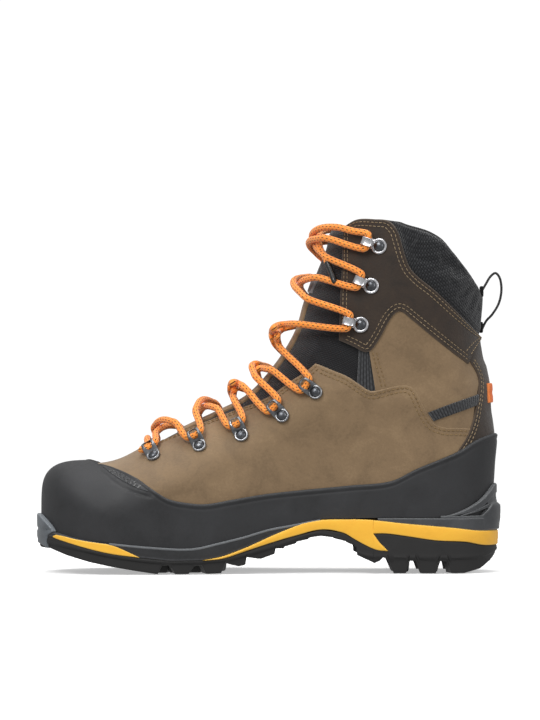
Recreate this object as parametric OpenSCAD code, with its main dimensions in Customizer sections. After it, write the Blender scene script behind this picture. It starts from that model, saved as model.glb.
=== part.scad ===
// Right mountaineering boot: a layered leather upper on a stiff lugged sole.
// X runs from the toe (-) to the heel (+), Y from the inner side (-) to the outer
// side (+) and Z up. The lugs stand on z = 0. Outlines are drawn in the side view
// as [x, z] points and laid on the lasted surface, which holds the foot's shape.

/* [Size] */
// Length over the toe bumper and the pull loop, mm
boot_length = 307.6; // [280:0.2:330]
// Half width of the leather at the ball of the foot
ball_half = 49; // [46:0.5:51]
// Half width of the leather at the heel
heel_half = 36; // [34:0.5:38]
// Half width of the shaft at the ankle
ankle_half = 39; // [37:0.5:41]
// Half width of the shaft at the collar
collar_half = 45; // [42:0.5:47]

/* [Layers] */
// Thickness of the nubuck leather
leather_t = 2; // [1.6:0.1:2.4]
// Thickness of the rubber rand
rand_t = 2.5; // [1.8:0.1:3]
// Thickness of the lining and its foam
lining_t = 2.7; // [2:0.1:3]
// Thickness of the tongue
tongue_t = 3.5; // [2.5:0.1:4]
// How far the sole stands out past the leather
sole_ledge = 4.5; // [3.5:0.1:5]
// Glue line between two layers
glue = 0.1; // [0.05:0.01:0.2]

/* [Sole] */
// Width of the groove down the middle of the tread
tread_groove = 12; // [8:0.5:16]
// Depth of the groove down the middle of the tread
tread_depth = 4.5; // [3:0.1:5]
// Thickness of the lasting board
board_t = 2.4; // [2:0.1:3]
// Thickness of the removable footbed
footbed_t = 5; // [4:0.1:6]

/* [Lacing] */
// Diameter of the round lace
lace_d = 4.5; // [4:0.1:5]
// Radius of an eyelet's rivet flange
rivet_r = 5; // [4.5:0.1:5.5]

/* [Hidden] */
size_k = boot_length / 307.6;

// Lasted surface: outer face of the leather
toe_x = -148;
toe_round = 45;
heel_round = 38;
corner = 5;
DORSAL = [[-175, 70.6], [-140, 70.6], [-112, 71.4], [-98, 74.4], [-84, 81.5], [-68, 90.5],
          [-52, 98.5], [-34, 107], [-20, 114], [-9.5, 122.5], [1.5, 135.5], [10.3, 148.3],
          [16.6, 160.7], [21.1, 176.5], [26, 191], [31.5, 204], [36, 216], [40, 227], [44, 240]];
BACK = [[20, 144.5], [50, 145], [70, 146], [86, 147], [98, 146], [106, 145], [122, 144.3],
        [134, 142.4], [146, 139.8], [158, 138.2], [170, 137.8], [185, 138.5], [250, 140]];
FOOT_HALF = [[-150, ball_half - 6], [-120, ball_half - 2.5], [-90, ball_half - 0.4], [-60, ball_half],
             [-35, ball_half - 2.5], [-10, ball_half - 7], [20, heel_half + 2], [50, heel_half + 0.4],
             [80, heel_half], [150, heel_half]];
SHAFT_HALF = [[50, heel_half], [90, heel_half + 0.6], [112, ankle_half - 0.5], [135, ankle_half + 0.5],
              [165, collar_half - 3], [195, collar_half - 1.2], [240, collar_half]];
LAST_BEND = [[-150, -7], [-100, -3], [-60, 1], [-20, 3.6], [20, 3.8], [60, 1.6], [110, 0], [150, 0]];

// Side-view lines of the sole and of the rand
BED = [[-149, 28.6], [-142, 27], [-125, 23], [-103, 20], [-70.6, 17], [-50, 16.5], [-33, 20],
       [-16.5, 24], [-0.7, 28.6], [16.5, 31.8], [33.7, 35], [53, 35.4], [75, 36], [100, 36], [152, 36]];
RAND_TOP = [[-122, 73], [-112, 71], [-102.4, 69], [-86.5, 63], [-76.8, 56], [-66.5, 49.5],
            [-56.8, 46.5], [-42.4, 45.3], [-25, 48], [-3.6, 51.5], [19.3, 54], [52.8, 57.2],
            [78.8, 60], [95.6, 68], [111.5, 74.5], [123.6, 80], [134, 86.5], [149, 92]];
FOAM_TOP = [[-43.6, 8.9], [-30.8, 11.4], [-15, 17.2], [1.5, 24.6], [16.4, 30.6], [30, 35.5],
            [52.8, 36.5], [69.2, 34.7], [87.6, 32.5], [119.6, 29.7], [135.6, 27.7], [151.5, 27.3]];
FOAM_ARCH = [[-43.6, 8.9], [-30.8, 10], [-15, 15], [1.5, 20.3], [16.4, 24.6], [33.6, 28.6],
             [47.6, 26.5], [55.6, 22], [63.6, 17.7], [70, 15.2], [76.8, 14]];
FOAM_HEEL = [[67.2, 26], [75.6, 26], [87.6, 24.5], [107.6, 21.6], [127.6, 20.5], [139.6, 18.1],
    [151.5, 17.7]];
INSERT_TOP = [[-141, 24], [-130, 23.2], [-118.4, 21.2], [-103.2, 18.2], [-84.4, 10.9]];
INSERT_LOW = [[-141, 24], [-138.4, 22.5], [-118.4, 16.9], [-102.4, 13.3], [-84.4, 10.9]];
HIDDEN_JOIN = [[-84.4, 10.9], [-64, 8.2], [-43.6, 8.9]];
TREAD = [[-145.3, 16.2], [-144, 15.8], [-136, 13], [-134.5, 15.5], [-128, 13.5], [-126.5, 10.3],
         [-117, 7.8], [-115.5, 10.4], [-109, 9], [-107.5, 6], [-97, 3.9], [-95.5, 7], [-89.5, 6],
         [-88, 2.3], [-76, 0], [-70, 0], [-68.5, 4.5], [-63.5, 4.5], [-62, 0], [-48, 0],
         [-46.5, 4.5], [-42, 5], [-40.5, 0], [-30, 0.2], [-28.6, 7], [-25, 7.5], [-23, 4.2],
         [-16, 5.2], [-15, 10.7], [-9, 11.4], [-5.7, 9.2], [3.6, 12.8], [3.6, 16.4], [9.2, 16],
         [16.4, 19.3], [24, 22], [33, 24], [42, 21.6], [50, 17], [55.6, 11.7], [58, 5.5], [67, 3.5],
         [71.6, 9.5], [76, 8.8], [80.5, 0], [88, 0], [91.5, 7], [95, 7], [98, 0], [108, 0],
         [111, 6.7], [115.5, 6.5], [118.5, 0], [128, 0], [139, 2.6], [146, 7.5], [150.7, 12.9],
         [151.5, 17.7]];

// Panel borders on the lasted surface
THROAT = [[-76, 84.6], [-68, 87.6], [-52, 95], [-36, 101.5], [-20, 107.6], [-1, 115.5], [15, 126.5],
          [22.8, 131.4], [29.3, 137], [40, 132.6], [50, 128.4], [58, 123.2], [65.2, 118.8],
          [71.6, 119.7], [78, 121.4], [86, 122.4], [92.4, 121], [96.5, 116], [100.4, 107.3],
          [106, 98.5], [113, 95.7], [122, 95], [130, 94.4]];
CUFF_LOW = [[45, 151.7], [53.9, 147.8], [61.6, 144], [65.5, 145], [71.3, 152.7], [77, 163.3],
            [81, 169], [85, 170.5], [90.7, 166.2], [105, 154.6], [119.7, 143], [130, 136]];
CUFF_TOP = [[48, 226], [60, 230.6], [69, 230.4], [77, 229.2], [82.5, 223], [85, 216], [87, 208],
            [90.7, 199], [97, 192.5], [108, 183.6], [124, 168.5], [133, 159.5]];
COLLAR_LOW = [[80, 228.4], [84, 223], [86.4, 216], [88.5, 208], [92, 200.4], [98.2, 194],
              [109, 185], [125, 170], [134.4, 160.5], [138.2, 156]];
COLLAR_RIM = [[84, 227.6], [92, 225.4], [99, 223], [106, 220.4], [113, 216.4], [119, 210.4],
              [125, 203.2], [131, 195.4], [136, 187.5], [138.5, 184]];
QUARTER_LOW = [[68.6, 122], [72.5, 121.6], [79, 123.2], [86, 124], [93, 122.8], [98, 116.8],
               [102, 107.8], [107.6, 99.8], [114, 97.2], [129.6, 95.8]];
QUARTER_TOP = [[64.6, 141.5], [66.8, 144.2], [72.6, 152.2], [78, 162], [81.6, 167], [85, 168.6],
               [91, 164.4], [105.5, 152.8], [120, 141.2], [136.2, 131]];
STAY_EDGE = [[62, 136], [80, 136.4], [96, 135.4], [107.3, 135.8], [118, 138],
             [130, 138], [140, 137.6], [153, 137.2]];

// The cuff turns about this point, and rays from it part foot and cuff
ANKLE = [80.5, 103];
ear_r = 22;
ear_gap = 0.5;
front_foot_ray = 146;
front_cuff_ray = 125;
back_foot_ray = -8;
back_cuff_ray = 0.5;

// Lace stations: place along the instep line and angle down from its ridge. Each rivet
// is turned a little further down than its station.
EYELETS = [[-80, 31.5], [-53.2, 45.3], [-27.9, 49.8], [-10.4, 52.5], [3.1, 56.8]];
HOOKS = [[171.9, 66.6], [201.9, 64.2], [224.2, 59.8]];
eyelet_turn = 9;
hook_turn = 6;

function lerp(a, b, t) = a + (b - a) * t;
function smooth(t) = let (u = max(0, min(1, t))) u * u * (3 - 2 * u);
function unit(v) = v / norm(v);
function swap(P) = [for (p = P) [p.y, p.x]];
function flip(P) = [for (i = [len(P) - 1 : -1 : 0]) P[i]];

// A smooth curve y(x) through knots whose x rises
function tilt(P, i) = let (a = max(0, i - 1), b = min(len(P) - 1, i + 1))
    (P[b].y - P[a].y) / (P[b].x - P[a].x);
function span_of(P, x) = max([0, for (i = [1 : len(P) - 2]) if (P[i].x <= x) i]);
function curve(P, x) = let (i = span_of(P, x), h = P[i + 1].x - P[i].x,
        t = max(0, min(1, (x - P[i].x) / h)), m0 = tilt(P, i) * h, m1 = tilt(P, i + 1) * h)
    P[i].y * (2 * t * t * t - 3 * t * t + 1) + m0 * (t * t * t - 2 * t * t + t)
    + P[i + 1].y * (3 * t * t - 2 * t * t * t) + m1 * (t * t * t - t * t);
function line(P, x0, x1, n) = [for (i = [0 : n]) let (x = lerp(x0, x1, i / n)) [x, curve(P, x)]];

// The same knots walked by share of their count, for a border that turns back
function along(P, u) = let (k = u * (len(P) - 1), i = min(len(P) - 2, floor(k))) lerp(P[i], P[i + 1], k - i);
function border(P, n) = [for (i = [0 : n]) along(P, i / n)];

// Plan of the foot
function foot_half(x) = curve(FOOT_HALF, x);
function bend(x, z) = curve(LAST_BEND, x) * (1 - smooth((z - 50) / 70));
function half(x, z) = lerp(foot_half(x), curve(SHAFT_HALF, z), smooth((z - 55) / 55));
function back_x(z) = curve(BACK, z);
function back_tilt(z) = (back_x(z + 1) - back_x(z - 1)) / 2;
function top_round(z) = lerp(36, 58, smooth((z - 75) / 75));

// Ridge line of the instep, its normals, and the distance of a point from it
RIDGE = concat(line(DORSAL, -175, -20, 24), [for (z = [118 : 4 : 240]) [curve(swap(DORSAL), z), z]]);
function ridge_normal(i) = let (a = RIDGE[max(0, i - 1)], b = RIDGE[min(len(RIDGE) - 1, i + 1)],
    t = unit(b - a)) [-t.y, t.x];
RIDGE_NORMAL = [for (i = [0 : len(RIDGE) - 1]) ridge_normal(i)];
function part_of(p, i) = let (s = RIDGE[i + 1] - RIDGE[i]) max(0, min(1, (p - RIDGE[i]) * s / (s * s)));
function gap_to(p, i) = norm(p - lerp(RIDGE[i], RIDGE[i + 1], part_of(p, i)));
function near_ridge(p) = let (gaps = [for (i = [0 : len(RIDGE) - 2]) gap_to(p, i)], d = min(gaps),
        i = search(d, gaps)[0])
    concat([d], unit(lerp(RIDGE_NORMAL[i], RIDGE_NORMAL[i + 1], part_of(p, i))));

// How close a side-view point is to the outline, 0 to 1, with its slopes along x and z
function rise(p) = let (a = max(0, 1 - (p.x - toe_x) / toe_round), r = near_ridge(p),
        b = max(0, 1 - r[0] / top_round(p.y)),
        c = max(0, 1 - (back_x(p.y) - p.x) / heel_round),
        n = pow(pow(a, corner) + pow(b, corner) + pow(c, corner), 1 / corner),
        q = n < 0.01 ? 0 : pow(n, 1 - corner),
        fa = pow(a, corner - 1) / toe_round, fb = pow(b, corner - 1) / top_round(p.y),
        fc = pow(c, corner - 1) / heel_round)
    [min(1, n), q * (fb * r[1] + fc - fa), q * (fb * r[2] - fc * back_tilt(p.y))];

// A point of the lasted surface, moved out along its normal; side is -1, 0 (outline) or 1
function skin_normal(p, side) = let (n = rise(p), k = n[0])
    unit([k * n[1], side * sqrt(max(0, 1 - k * k)) / half(p.x, p.y), k * n[2]]);
function skin(p, side, out) = let (n = rise(p), k = n[0], w = half(p.x, p.y), s = sqrt(max(0, 1 - k * k)),
        g = unit([k * n[1], side * s / w, k * n[2]]))
    [p.x + out * g.x, bend(p.x, p.y) + side * w * s + out * g.y, p.y + out * g.z];

// A point on the ridge line at x (forefoot), and one at station s, turned by angle a
function ridge_z(x) = let (a = max(0, 1 - (x - toe_x) / toe_round))
    curve(DORSAL, x) - top_round(70) * (1 - pow(max(0, 1 - pow(a, corner)), 1 / corner));
function station(s) = s < 60 ? [s, curve(DORSAL, s)] : [curve(swap(DORSAL), s), s];
function down_from(s, a) = let (p = station(s), r = near_ridge(p))
    p - [r[1], r[2]] * top_round(p.y) * (1 - cos(a));
function strap_point(s, a, out) = skin(down_from(s, a), sign(a), out);

// Faces of a sheet with (n + 1) x (m + 1) points on each face, closed where edges says 1
// edges: [first column, last column, lowest row, highest row from this column on]
function quad(a, b, c, d, turn) = turn ? [[a, d, b], [b, d, c]] : [[a, b, d], [b, c, d]];
function sheet_faces(n, m, edges, turn, first) = let (row = m + 1, back = first + (n + 1) * row) [
    for (i = [0 : n - 1], j = [0 : m - 1]) let (k = first + i * row + j)
        each quad(k, k + 1, k + row + 1, k + row, turn),
    for (i = [0 : n - 1], j = [0 : m - 1]) let (k = back + i * row + j)
        each quad(k, k + row, k + row + 1, k + 1, turn),
    for (j = [0 : m - 1]) if (edges[0] == 1) let (k = first + j)
        each quad(k, back + j, back + j + 1, k + 1, turn),
    for (j = [0 : m - 1]) if (edges[1] == 1) let (k = n * row + j)
        each quad(first + k, first + k + 1, back + k + 1, back + k, turn),
    for (i = [0 : n - 1]) if (edges[2] == 1) let (k = i * row)
        each quad(first + k, first + k + row, back + k + row, back + k, turn),
    for (i = [0 : n - 1]) if (i >= edges[3]) let (k = i * row + m)
        each quad(first + k, back + k, back + k + row, first + k + row, turn)];
function sheet_points(G, side, inner, outer) = concat(
    [for (col = G, p = col) skin([p.x, p.y], side * p.z, outer)],
    [for (col = G, p = col) skin([p.x, p.y], side * p.z, inner)]);

// Side-view grid between two borders. Back columns keep to the heel line.
function grid_point(a, b, v, w) = let (z = lerp(a.y, b.y, v),
        pull = w * (back_x(z) - lerp(back_x(a.y), back_x(b.y), v))) [lerp(a.x, b.x, v) + pull, z, 1];
function side_grid(L, H, m) = [for (i = [0 : len(L) - 1])
    [for (j = [0 : m]) grid_point(L[i], H[i], j / m, smooth((L[i].x - 60) / 80))]];
module side_pair(L, H, m, inner, outer) {
    G = side_grid(L, H, m);
    for (side = [-1, 1])
        polyhedron(sheet_points(G, side, inner, outer),
            sheet_faces(len(L) - 1, m, [1, 1, 1, 0], side > 0, 0), convexity = 6);
}

// Columns that rise from the bed; the first ridge_cols of them meet over the ridge
function column_x(x0, x1, n) = [for (i = [0 : n]) lerp(x0, x1, (1 - cos(180 * i / n)) / 2)];
function bed_at(x) = [x, curve(BED, x)];
function crown(v) = sin(90 * v);
function wrap_grid(L, H, m, ridge_cols, toe_closed, heel_closed) = [for (i = [0 : len(L) - 1])
    [for (j = [0 : m]) let (p = grid_point(L[i], H[i], crown(j / m), smooth((L[i].x - 60) / 80)),
            flat_edge = (i == 0 && toe_closed) || (i == len(L) - 1 && heel_closed)
                || (j == m && i < ridge_cols))
        [i == len(L) - 1 && heel_closed ? back_x(p.y) : p.x, p.y, flat_edge ? 0 : 1]]];
module wrapped(L, H, m, ridge_cols, toe_closed, heel_closed, inner, outer) {
    G = wrap_grid(L, H, m, ridge_cols, toe_closed, heel_closed);
    n = len(L) - 1;
    edges = [toe_closed ? 0 : 1, heel_closed ? 0 : 1, 1, max(0, ridge_cols - 1)];
    polyhedron(
        concat(sheet_points(G, -1, inner, outer), sheet_points(G, 1, inner, outer)),
        concat(sheet_faces(n, m, edges, false, 0),
               sheet_faces(n, m, edges, true, 2 * (n + 1) * (m + 1))), convexity = 8);
}

// A band over the ridge line between stations, as wide as the two edge angles
module ridge_band(stations, angles, m, inner, outer) {
    n = len(stations) - 1;
    at_row = [for (i = [0 : n], j = [0 : m]) [stations[i], lerp(-angles[i], angles[i], j / m)]];
    polyhedron(
        concat([for (q = at_row) strap_point(q.x, q.y, outer)],
               [for (q = at_row) strap_point(q.x, q.y, inner)]),
        sheet_faces(n, m, [1, 1, 1, 0], true, 0), convexity = 4);
}

// A round tube through points P, with N as rough directions across it
function tube_ring(P, N, i, r, k) = let (t = unit(P[min(len(P) - 1, i + 1)] - P[max(0, i - 1)]),
        b = unit(cross(t, N[i])), c = cross(b, t))
    [for (j = [0 : k - 1]) P[i] + r * (cos(360 * j / k) * c + sin(360 * j / k) * b)];
module tube(P, N, r, k) {
    n = len(P);
    polyhedron([for (i = [0 : n - 1]) each tube_ring(P, N, i, r, k)],
        concat([[for (j = [0 : k - 1]) j]], [[for (j = [0 : k - 1]) (n - 1) * k + k - 1 - j]],
            [for (i = [0 : n - 2], j = [0 : k - 1]) let (a = i * k + j, b = i * k + (j + 1) % k)
                each [[a, a + k, b + k], [a, b + k, b]]]), convexity = 8);
}

// The sole: a side-view profile cut by the plan outline
function plan_half(x, out) = let (
        n = max(0, 1 - (x - toe_x + out) / toe_round, 1 - (BACK[1].y + out - x) / heel_round))
    (foot_half(x) + out) * sqrt(max(0, 1 - n * n));
function outline(out) = let (X = column_x(toe_x - out, BACK[1].y + out, 36)) concat(
    [for (i = [0 : 36]) [X[i], curve(LAST_BEND, X[i]) - plan_half(X[i], out)]],
    [for (i = [35 : -1 : 1]) [X[i], curve(LAST_BEND, X[i]) + plan_half(X[i], out)]]);
module plan(out) linear_extrude(80) polygon(outline(out));
module profile(P) rotate([90, 0, 0]) translate([0, 0, -70]) linear_extrude(140) polygon(P);
module sole_piece(P) {
    intersection() {
        profile(P);
        plan(sole_ledge);
    }
}
insert_low = line(INSERT_LOW, -141, -84.4, 8);
insert_top = line(INSERT_TOP, -141, -84.4, 8);
hidden_join = line(HIDDEN_JOIN, -84.4, -43.6, 4);
foam_arch = line(FOAM_ARCH, -43.6, 76.8, 16);
foam_heel = line(FOAM_HEEL, 67.2, 151.5, 8);
foam_top = [for (p = line(FOAM_TOP, -43.6, 151.5, 24)) [p.x, min(p.y, curve(BED, p.x))]];
foam_tip = 19;
frame_tip = 66;

module outsole() color([0.16, 0.16, 0.165])
    difference() {
        sole_piece(concat(TREAD, flip(foam_heel), flip(foam_arch), flip(hidden_join), flip(insert_low)));
        translate([-136, -tread_groove / 2, -1]) cube([112, tread_groove, tread_depth + 1]);
        translate([64, -tread_groove / 2, -1]) cube([62, tread_groove, tread_depth + 1]);
    }

module midsole_forefoot() color([0.22, 0.22, 0.23])
    sole_piece(concat(insert_top, [for (p = hidden_join) if (p.x > -84 && p.x < -44) p],
        [for (p = foam_top) if (p.x < foam_tip - 4) p], flip(line(BED, -141, foam_tip, 18))));

module midsole_toe_insert() color([0.98, 0.74, 0.24])
    sole_piece(concat(insert_low, flip([for (p = insert_top) if (p.x > -140.9 && p.x < -84.5) p])));

module midsole_arch_heel() color([0.98, 0.74, 0.24])
    sole_piece(concat(foam_arch, foam_heel, flip([for (p = foam_top) if (p.x > -43) p])));

// Clip of the toe: a block under the bed and a lip that stands round the rand
module toe_bumper() color([0.41, 0.44, 0.46]) {
    intersection() {
        profile([[-160, 15], [-145.4, 16.4], [-141.2, 24], [-141.2, 26.7], [-149, 28.5], [-160, 31]]);
        plan(sole_ledge + 0.6);
    }
    difference() {
        intersection() {
            profile([[-160, 27], [-149, 28.6], [-142.5, 27.2], [-144, 31.2], [-150, 38], [-160, 44]]);
            plan(sole_ledge + 0.6);
        }
        translate([0, 0, -1]) plan(rand_t + 2 * glue);
    }
}

// Heel clip: a wedge under the bed and a lip round the rand, with a ledge for a crampon
module heel_frame() color([0.37, 0.38, 0.39]) {
    sole_piece(concat([bed_at(frame_tip)], [for (p = foam_top) if (p.x > frame_tip + 3) p],
        [[160, 27], [160, 36]], [[76, 36]]));
    difference() {
        intersection() {
            profile([[112, 36], [127, 40.4], [138, 46], [149, 55.5], [160, 55.5], [160, 36]]);
            plan(sole_ledge);
        }
        translate([0, 0, -1]) plan(rand_t + 2 * glue);
    }
    intersection() {
        profile([[140, 36.2], [160, 36.2], [160, 43], [150, 45.6], [146, 43]]);
        difference() {
            plan(sole_ledge + 2.2);
            translate([0, 0, -1]) plan(sole_ledge - 0.4);
        }
    }
}

// Pieces inside the sole cup
shank_x = [-58, 112];
shank_w = 28;
shank_t = 1.4;
board_inset = 1.9;
footbed_inset = 4.1;
function lifted(up) = [for (p = line(BED, -150, 150, 30)) p + [0, up]];
module bed_layer(low, high, out) intersection() {
    profile(concat(lifted(low), flip(lifted(high))));
    plan(out);
}
module shank_blank(low, high, extra) intersection() {
    profile(concat(lifted(low), flip(lifted(high))));
    translate([shank_x[0] - extra, curve(LAST_BEND, 20) - shank_w / 2 - extra, 0])
        cube([shank_x[1] - shank_x[0] + 2 * extra, shank_w + 2 * extra, 60]);
}
module shank() color("silver") shank_blank(0.05, shank_t, 0);
module lasting_board() color([0.72, 0.66, 0.55]) difference() {
    bed_layer(0.05, board_t, -lining_t - leather_t - board_inset);
    shank_blank(-1, shank_t + 0.05, 0.05);
}
module footbed() color([0.85, 0.42, 0.16])
    bed_layer(board_t + 0.3, board_t + footbed_t, -lining_t - leather_t - footbed_inset);

// Uppers that rise from the bed
ridge_cols = 13;
function toe_columns(x1, n) = [for (i = [0 : n - 1]) lerp(toe_x, x1, 1 - cos(90 * i / n))];
toe_cols = toe_columns(-76, ridge_cols);
throat_cols = border(THROAT, 30);
vamp_low_x = concat(toe_cols, [for (i = [0 : 30]) lerp(-76, 134, i / 30)]);
module vamp() color([0.55, 0.45, 0.31])
    wrapped([for (x = vamp_low_x) bed_at(x) + [0, 0.3]],
        concat([for (x = toe_cols) [x, ridge_z(x)]], throat_cols),
        7, ridge_cols, true, false, -leather_t, 0);

rand_gap = 0.6;
rand_cols = column_x(toe_x, BACK[1].y, 40);
function rand_edge(x) = [x, x < -121 ? ridge_z(x) : min(ridge_z(x), curve(RAND_TOP, x))];
module rand() color([0.2, 0.205, 0.215])
    wrapped([for (x = rand_cols) bed_at(x) + [0, 0.3]], [for (x = rand_cols) rand_edge(x)], 6,
        len([for (x = rand_cols) if (x < -121) x]), true, true, rand_gap, rand_t);

module rand_toe_inset() color([0.15, 0.155, 0.16])
    side_pair(border([[-109, 66.4], [-99, 61.4], [-89, 56.6], [-80, 52.6]], 8),
        border([[-107, 68.4], [-98, 65.8], [-88, 61], [-79, 54.6]], 8), 3, rand_t + glue, rand_t + 0.8);

stiffener_out = -leather_t - 0.6;
stiffener_t = 0.9;
module toe_puff() color([0.88, 0.86, 0.8])
    wrapped([for (x = toe_columns(-100, 10)) bed_at(x) + [0, 3]],
        [for (x = toe_columns(-100, 10)) [x, ridge_z(x)]], 6, 10, true, false,
        stiffener_out - stiffener_t, stiffener_out);

counter_x = [for (i = [0 : 10]) lerp(70, BACK[1].y, sin(9 * i))];
module heel_counter() color([0.88, 0.86, 0.8])
    wrapped([for (x = counter_x) bed_at(x) + [0, 3]], [for (x = counter_x) [x, curve(RAND_TOP, x) - 4]],
        5, 0, false, true, stiffener_out - stiffener_t, stiffener_out);

// Lining: foot, two wedges that fold at the ankle, and cuff
lining_out = -leather_t - 2.2;
lining_in = lining_out - lining_t;
function ankle_ray(a, r) = ANKLE + r * [cos(a), sin(a)];
function ear_arc(r, a0, a1, n) = [for (i = [0 : n]) ankle_ray(lerp(a0, a1, i / n), r)];
function ray_line(a, r0, r1, n) = [for (i = [0 : n]) ankle_ray(a, lerp(r0, r1, i / n))];
tongue_stations = [-80, -70, -60, -48, -36, -24, -15, -6, 2, 10];
function tongue_angle(s) = curve([[-80, 25], [-49, 36], [-25, 43], [-9, 54], [10, 60], [149, 49],
    [157, 52], [165, 57], [177, 61], [188, 61], [230, 56]], s < 60 ? s : max(149, s));
lining_toe = toe_columns(-80, 12);
lining_top = concat([for (x = lining_toe) [x, ridge_z(x)]],
    [for (s = tongue_stations) down_from(s, tongue_angle(s) + 1)],
    ray_line(front_foot_ray, 44, ear_r + 4, 3), ear_arc(ear_r, front_foot_ray, back_foot_ray, 10),
    ray_line(back_foot_ray, ear_r + 8, 64, 5));
lining_low_x = concat(lining_toe, [for (i = [0 : len(lining_top) - 13]) lerp(-80, BACK[1].y,
    pow(i / (len(lining_top) - 13), 0.9))]);
module lining_foot() color([0.25, 0.25, 0.26])
    wrapped([for (x = lining_low_x) bed_at(x) + [0, board_t]], lining_top, 8, 12, true, true,
        lining_in, lining_out);

module lining_flex() color([0.3, 0.3, 0.31]) {
    side_pair(ray_line(front_foot_ray - 0.6, 46, ear_r + 2, 6),
              ray_line(front_cuff_ray + 0.6, 60, ear_r + 2, 6),
        4, lining_in, lining_out);
    wrapped(ray_line(back_foot_ray + 0.8, ear_r + 2, 64.6, 8),
            ray_line(back_cuff_ray - 0.5, ear_r + 2, 64.4, 8),
        2, 0, false, true, lining_in, lining_out);
}

cuff_lining_low = concat(ray_line(front_cuff_ray, 56, ear_r + 5, 4),
    ear_arc(ear_r + ear_gap, front_cuff_ray, back_cuff_ray, 9), ray_line(back_cuff_ray, ear_r + 8, 64.5, 5));
cuff_lining_rim = concat(border([[71, 229.3], [78, 229], [84, 227]], 6),
                         border(COLLAR_RIM, len(cuff_lining_low) - 8));
module lining_cuff() color([0.25, 0.25, 0.26])
    wrapped(cuff_lining_low, cuff_lining_rim, 7, 0, false, true, lining_in, lining_out);

// Tongue: three lengths of one pad, with a leather strip down its middle
tongue_out = -leather_t - 0.5;
module tongue_part(stations) ridge_band(stations, [for (s = stations) tongue_angle(s)], 10,
    tongue_out - tongue_t, tongue_out);
module tongue_lower() color([0.18, 0.18, 0.19]) tongue_part(tongue_stations);
module tongue_flex() color([0.16, 0.16, 0.17]) tongue_part([148.9, 153, 157, 161, 165, 169, 173, 177]);
module tongue_upper() color([0.18, 0.18, 0.19]) tongue_part([for (i = [0 : 9]) 177.6 + i * 5.6]);
strip_stations = concat([-60, -46, -32, -18, -8, 2, 9], [for (z = [150 : 7 : 178]) z]);
module tongue_strip() color([0.5, 0.38, 0.24])
    ridge_band(strip_stations, [for (s = strip_stations) 12], 4, tongue_out + 0.4, tongue_out + 1.5);
module tongue_label() color([0.5, 0.5, 0.5])
    ridge_band([184, 189, 194], [16, 16, 16], 4, tongue_out + 0.3, tongue_out + 1.2);

// Pieces of the cuff and the back
module cuff_leather() color([0.23, 0.185, 0.15])
    side_pair(border(CUFF_LOW, 22), border(CUFF_TOP, 22), 8, -leather_t, 0);
module collar_padding() color([0.18, 0.185, 0.19])
    wrapped(border(COLLAR_LOW, 18), border(COLLAR_RIM, 18), 6, 0, false, true, lining_out + 0.7, 1.2);
module rear_quarter() color([0.56, 0.46, 0.32])
    side_pair(border(QUARTER_LOW, 18), border(QUARTER_TOP, 18), 6, -leather_t, 0);
stay_rows = [for (i = [0 : 12]) lerp(62, 153, i / 12)];
module heel_stay() color([0.24, 0.19, 0.155]) {
    G = [for (z = stay_rows) [for (j = [0 : 8]) let (u = j / 4 - 1, edge = curve(STAY_EDGE, z))
        [lerp(back_x(z), edge, 1 - cos(90 * abs(u))), z, sign(u)]]];
    n = len(G) - 1;
    points = function(out) [for (row = G, p = row) skin([p.x, p.y], p.z, out)];
    polyhedron(concat(points(0), points(-leather_t)), sheet_faces(n, 8, [1, 1, 1, 0], false, 0),
               convexity = 4);
}
module heel_tab() color([0.95, 0.45, 0.15]) {
    G = [for (z = [111, 115, 119, 123]) [for (j = [0 : 4]) let (u = j / 2 - 1)
        [back_x(z) - 1.6 * u * u, z, sign(u)]]];
    points = function(out) [for (row = G, p = row) skin([p.x, p.y], p.z, out)];
    polyhedron(concat(points(1.1), points(glue)), sheet_faces(3, 4, [1, 1, 1, 0], false, 0), convexity = 4);
}
module side_strap() color([0.3, 0.3, 0.31])
    side_pair(border([[107.6, 99.9], [120, 104.4], [136.6, 110]], 8),
              border([[104.4, 105], [119, 110.6], [137, 116.4]], 8),
        2, glue, 1.3);
module ankle_gusset() color([0.13, 0.13, 0.135])
    side_pair(border([[35, 138.6], [42, 135.2], [50, 131.4], [58, 126.2], [65.4, 121.8], [67.6, 122.8]], 10),
        border([[45.5, 149.6], [49, 148], [53.5, 145.8], [58.6, 142.8], [61.6, 141.8], [63.2, 140.8]], 10), 4,
        -leather_t - 1.1, -leather_t + 0.6);
module gusset_webbing() color([0.28, 0.28, 0.29])
    side_pair(border([[57, 128], [63, 124], [67, 122.4]], 4),
              border([[57, 137], [62.6, 136], [65.4, 133]], 4), 2,
        -leather_t + 0.7, -leather_t + 1.7);

// Collar binding: a cord-like roll on the rim of the lining, from front to front
rim_half = concat(border([[57, 228], [70, 229.4], [84, 227.6]], 6), border(COLLAR_RIM, 12));
binding_r = 1.7;
function rim_at(p, side) = skin(p, side, (lining_in + lining_out) / 2) + [0.5, 0, 2];
binding_path = concat([for (i = [0 : len(rim_half) - 2]) rim_at(rim_half[i], -1)],
    [rim_at(rim_half[len(rim_half) - 1], 0)],
    [for (i = [len(rim_half) - 2 : -1 : 0]) rim_at(rim_half[i], 1)]);
module collar_binding() color([0.12, 0.12, 0.12])
    tube(binding_path, [for (p = binding_path) [0.25, 0, 1]], binding_r, 8);

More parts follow.
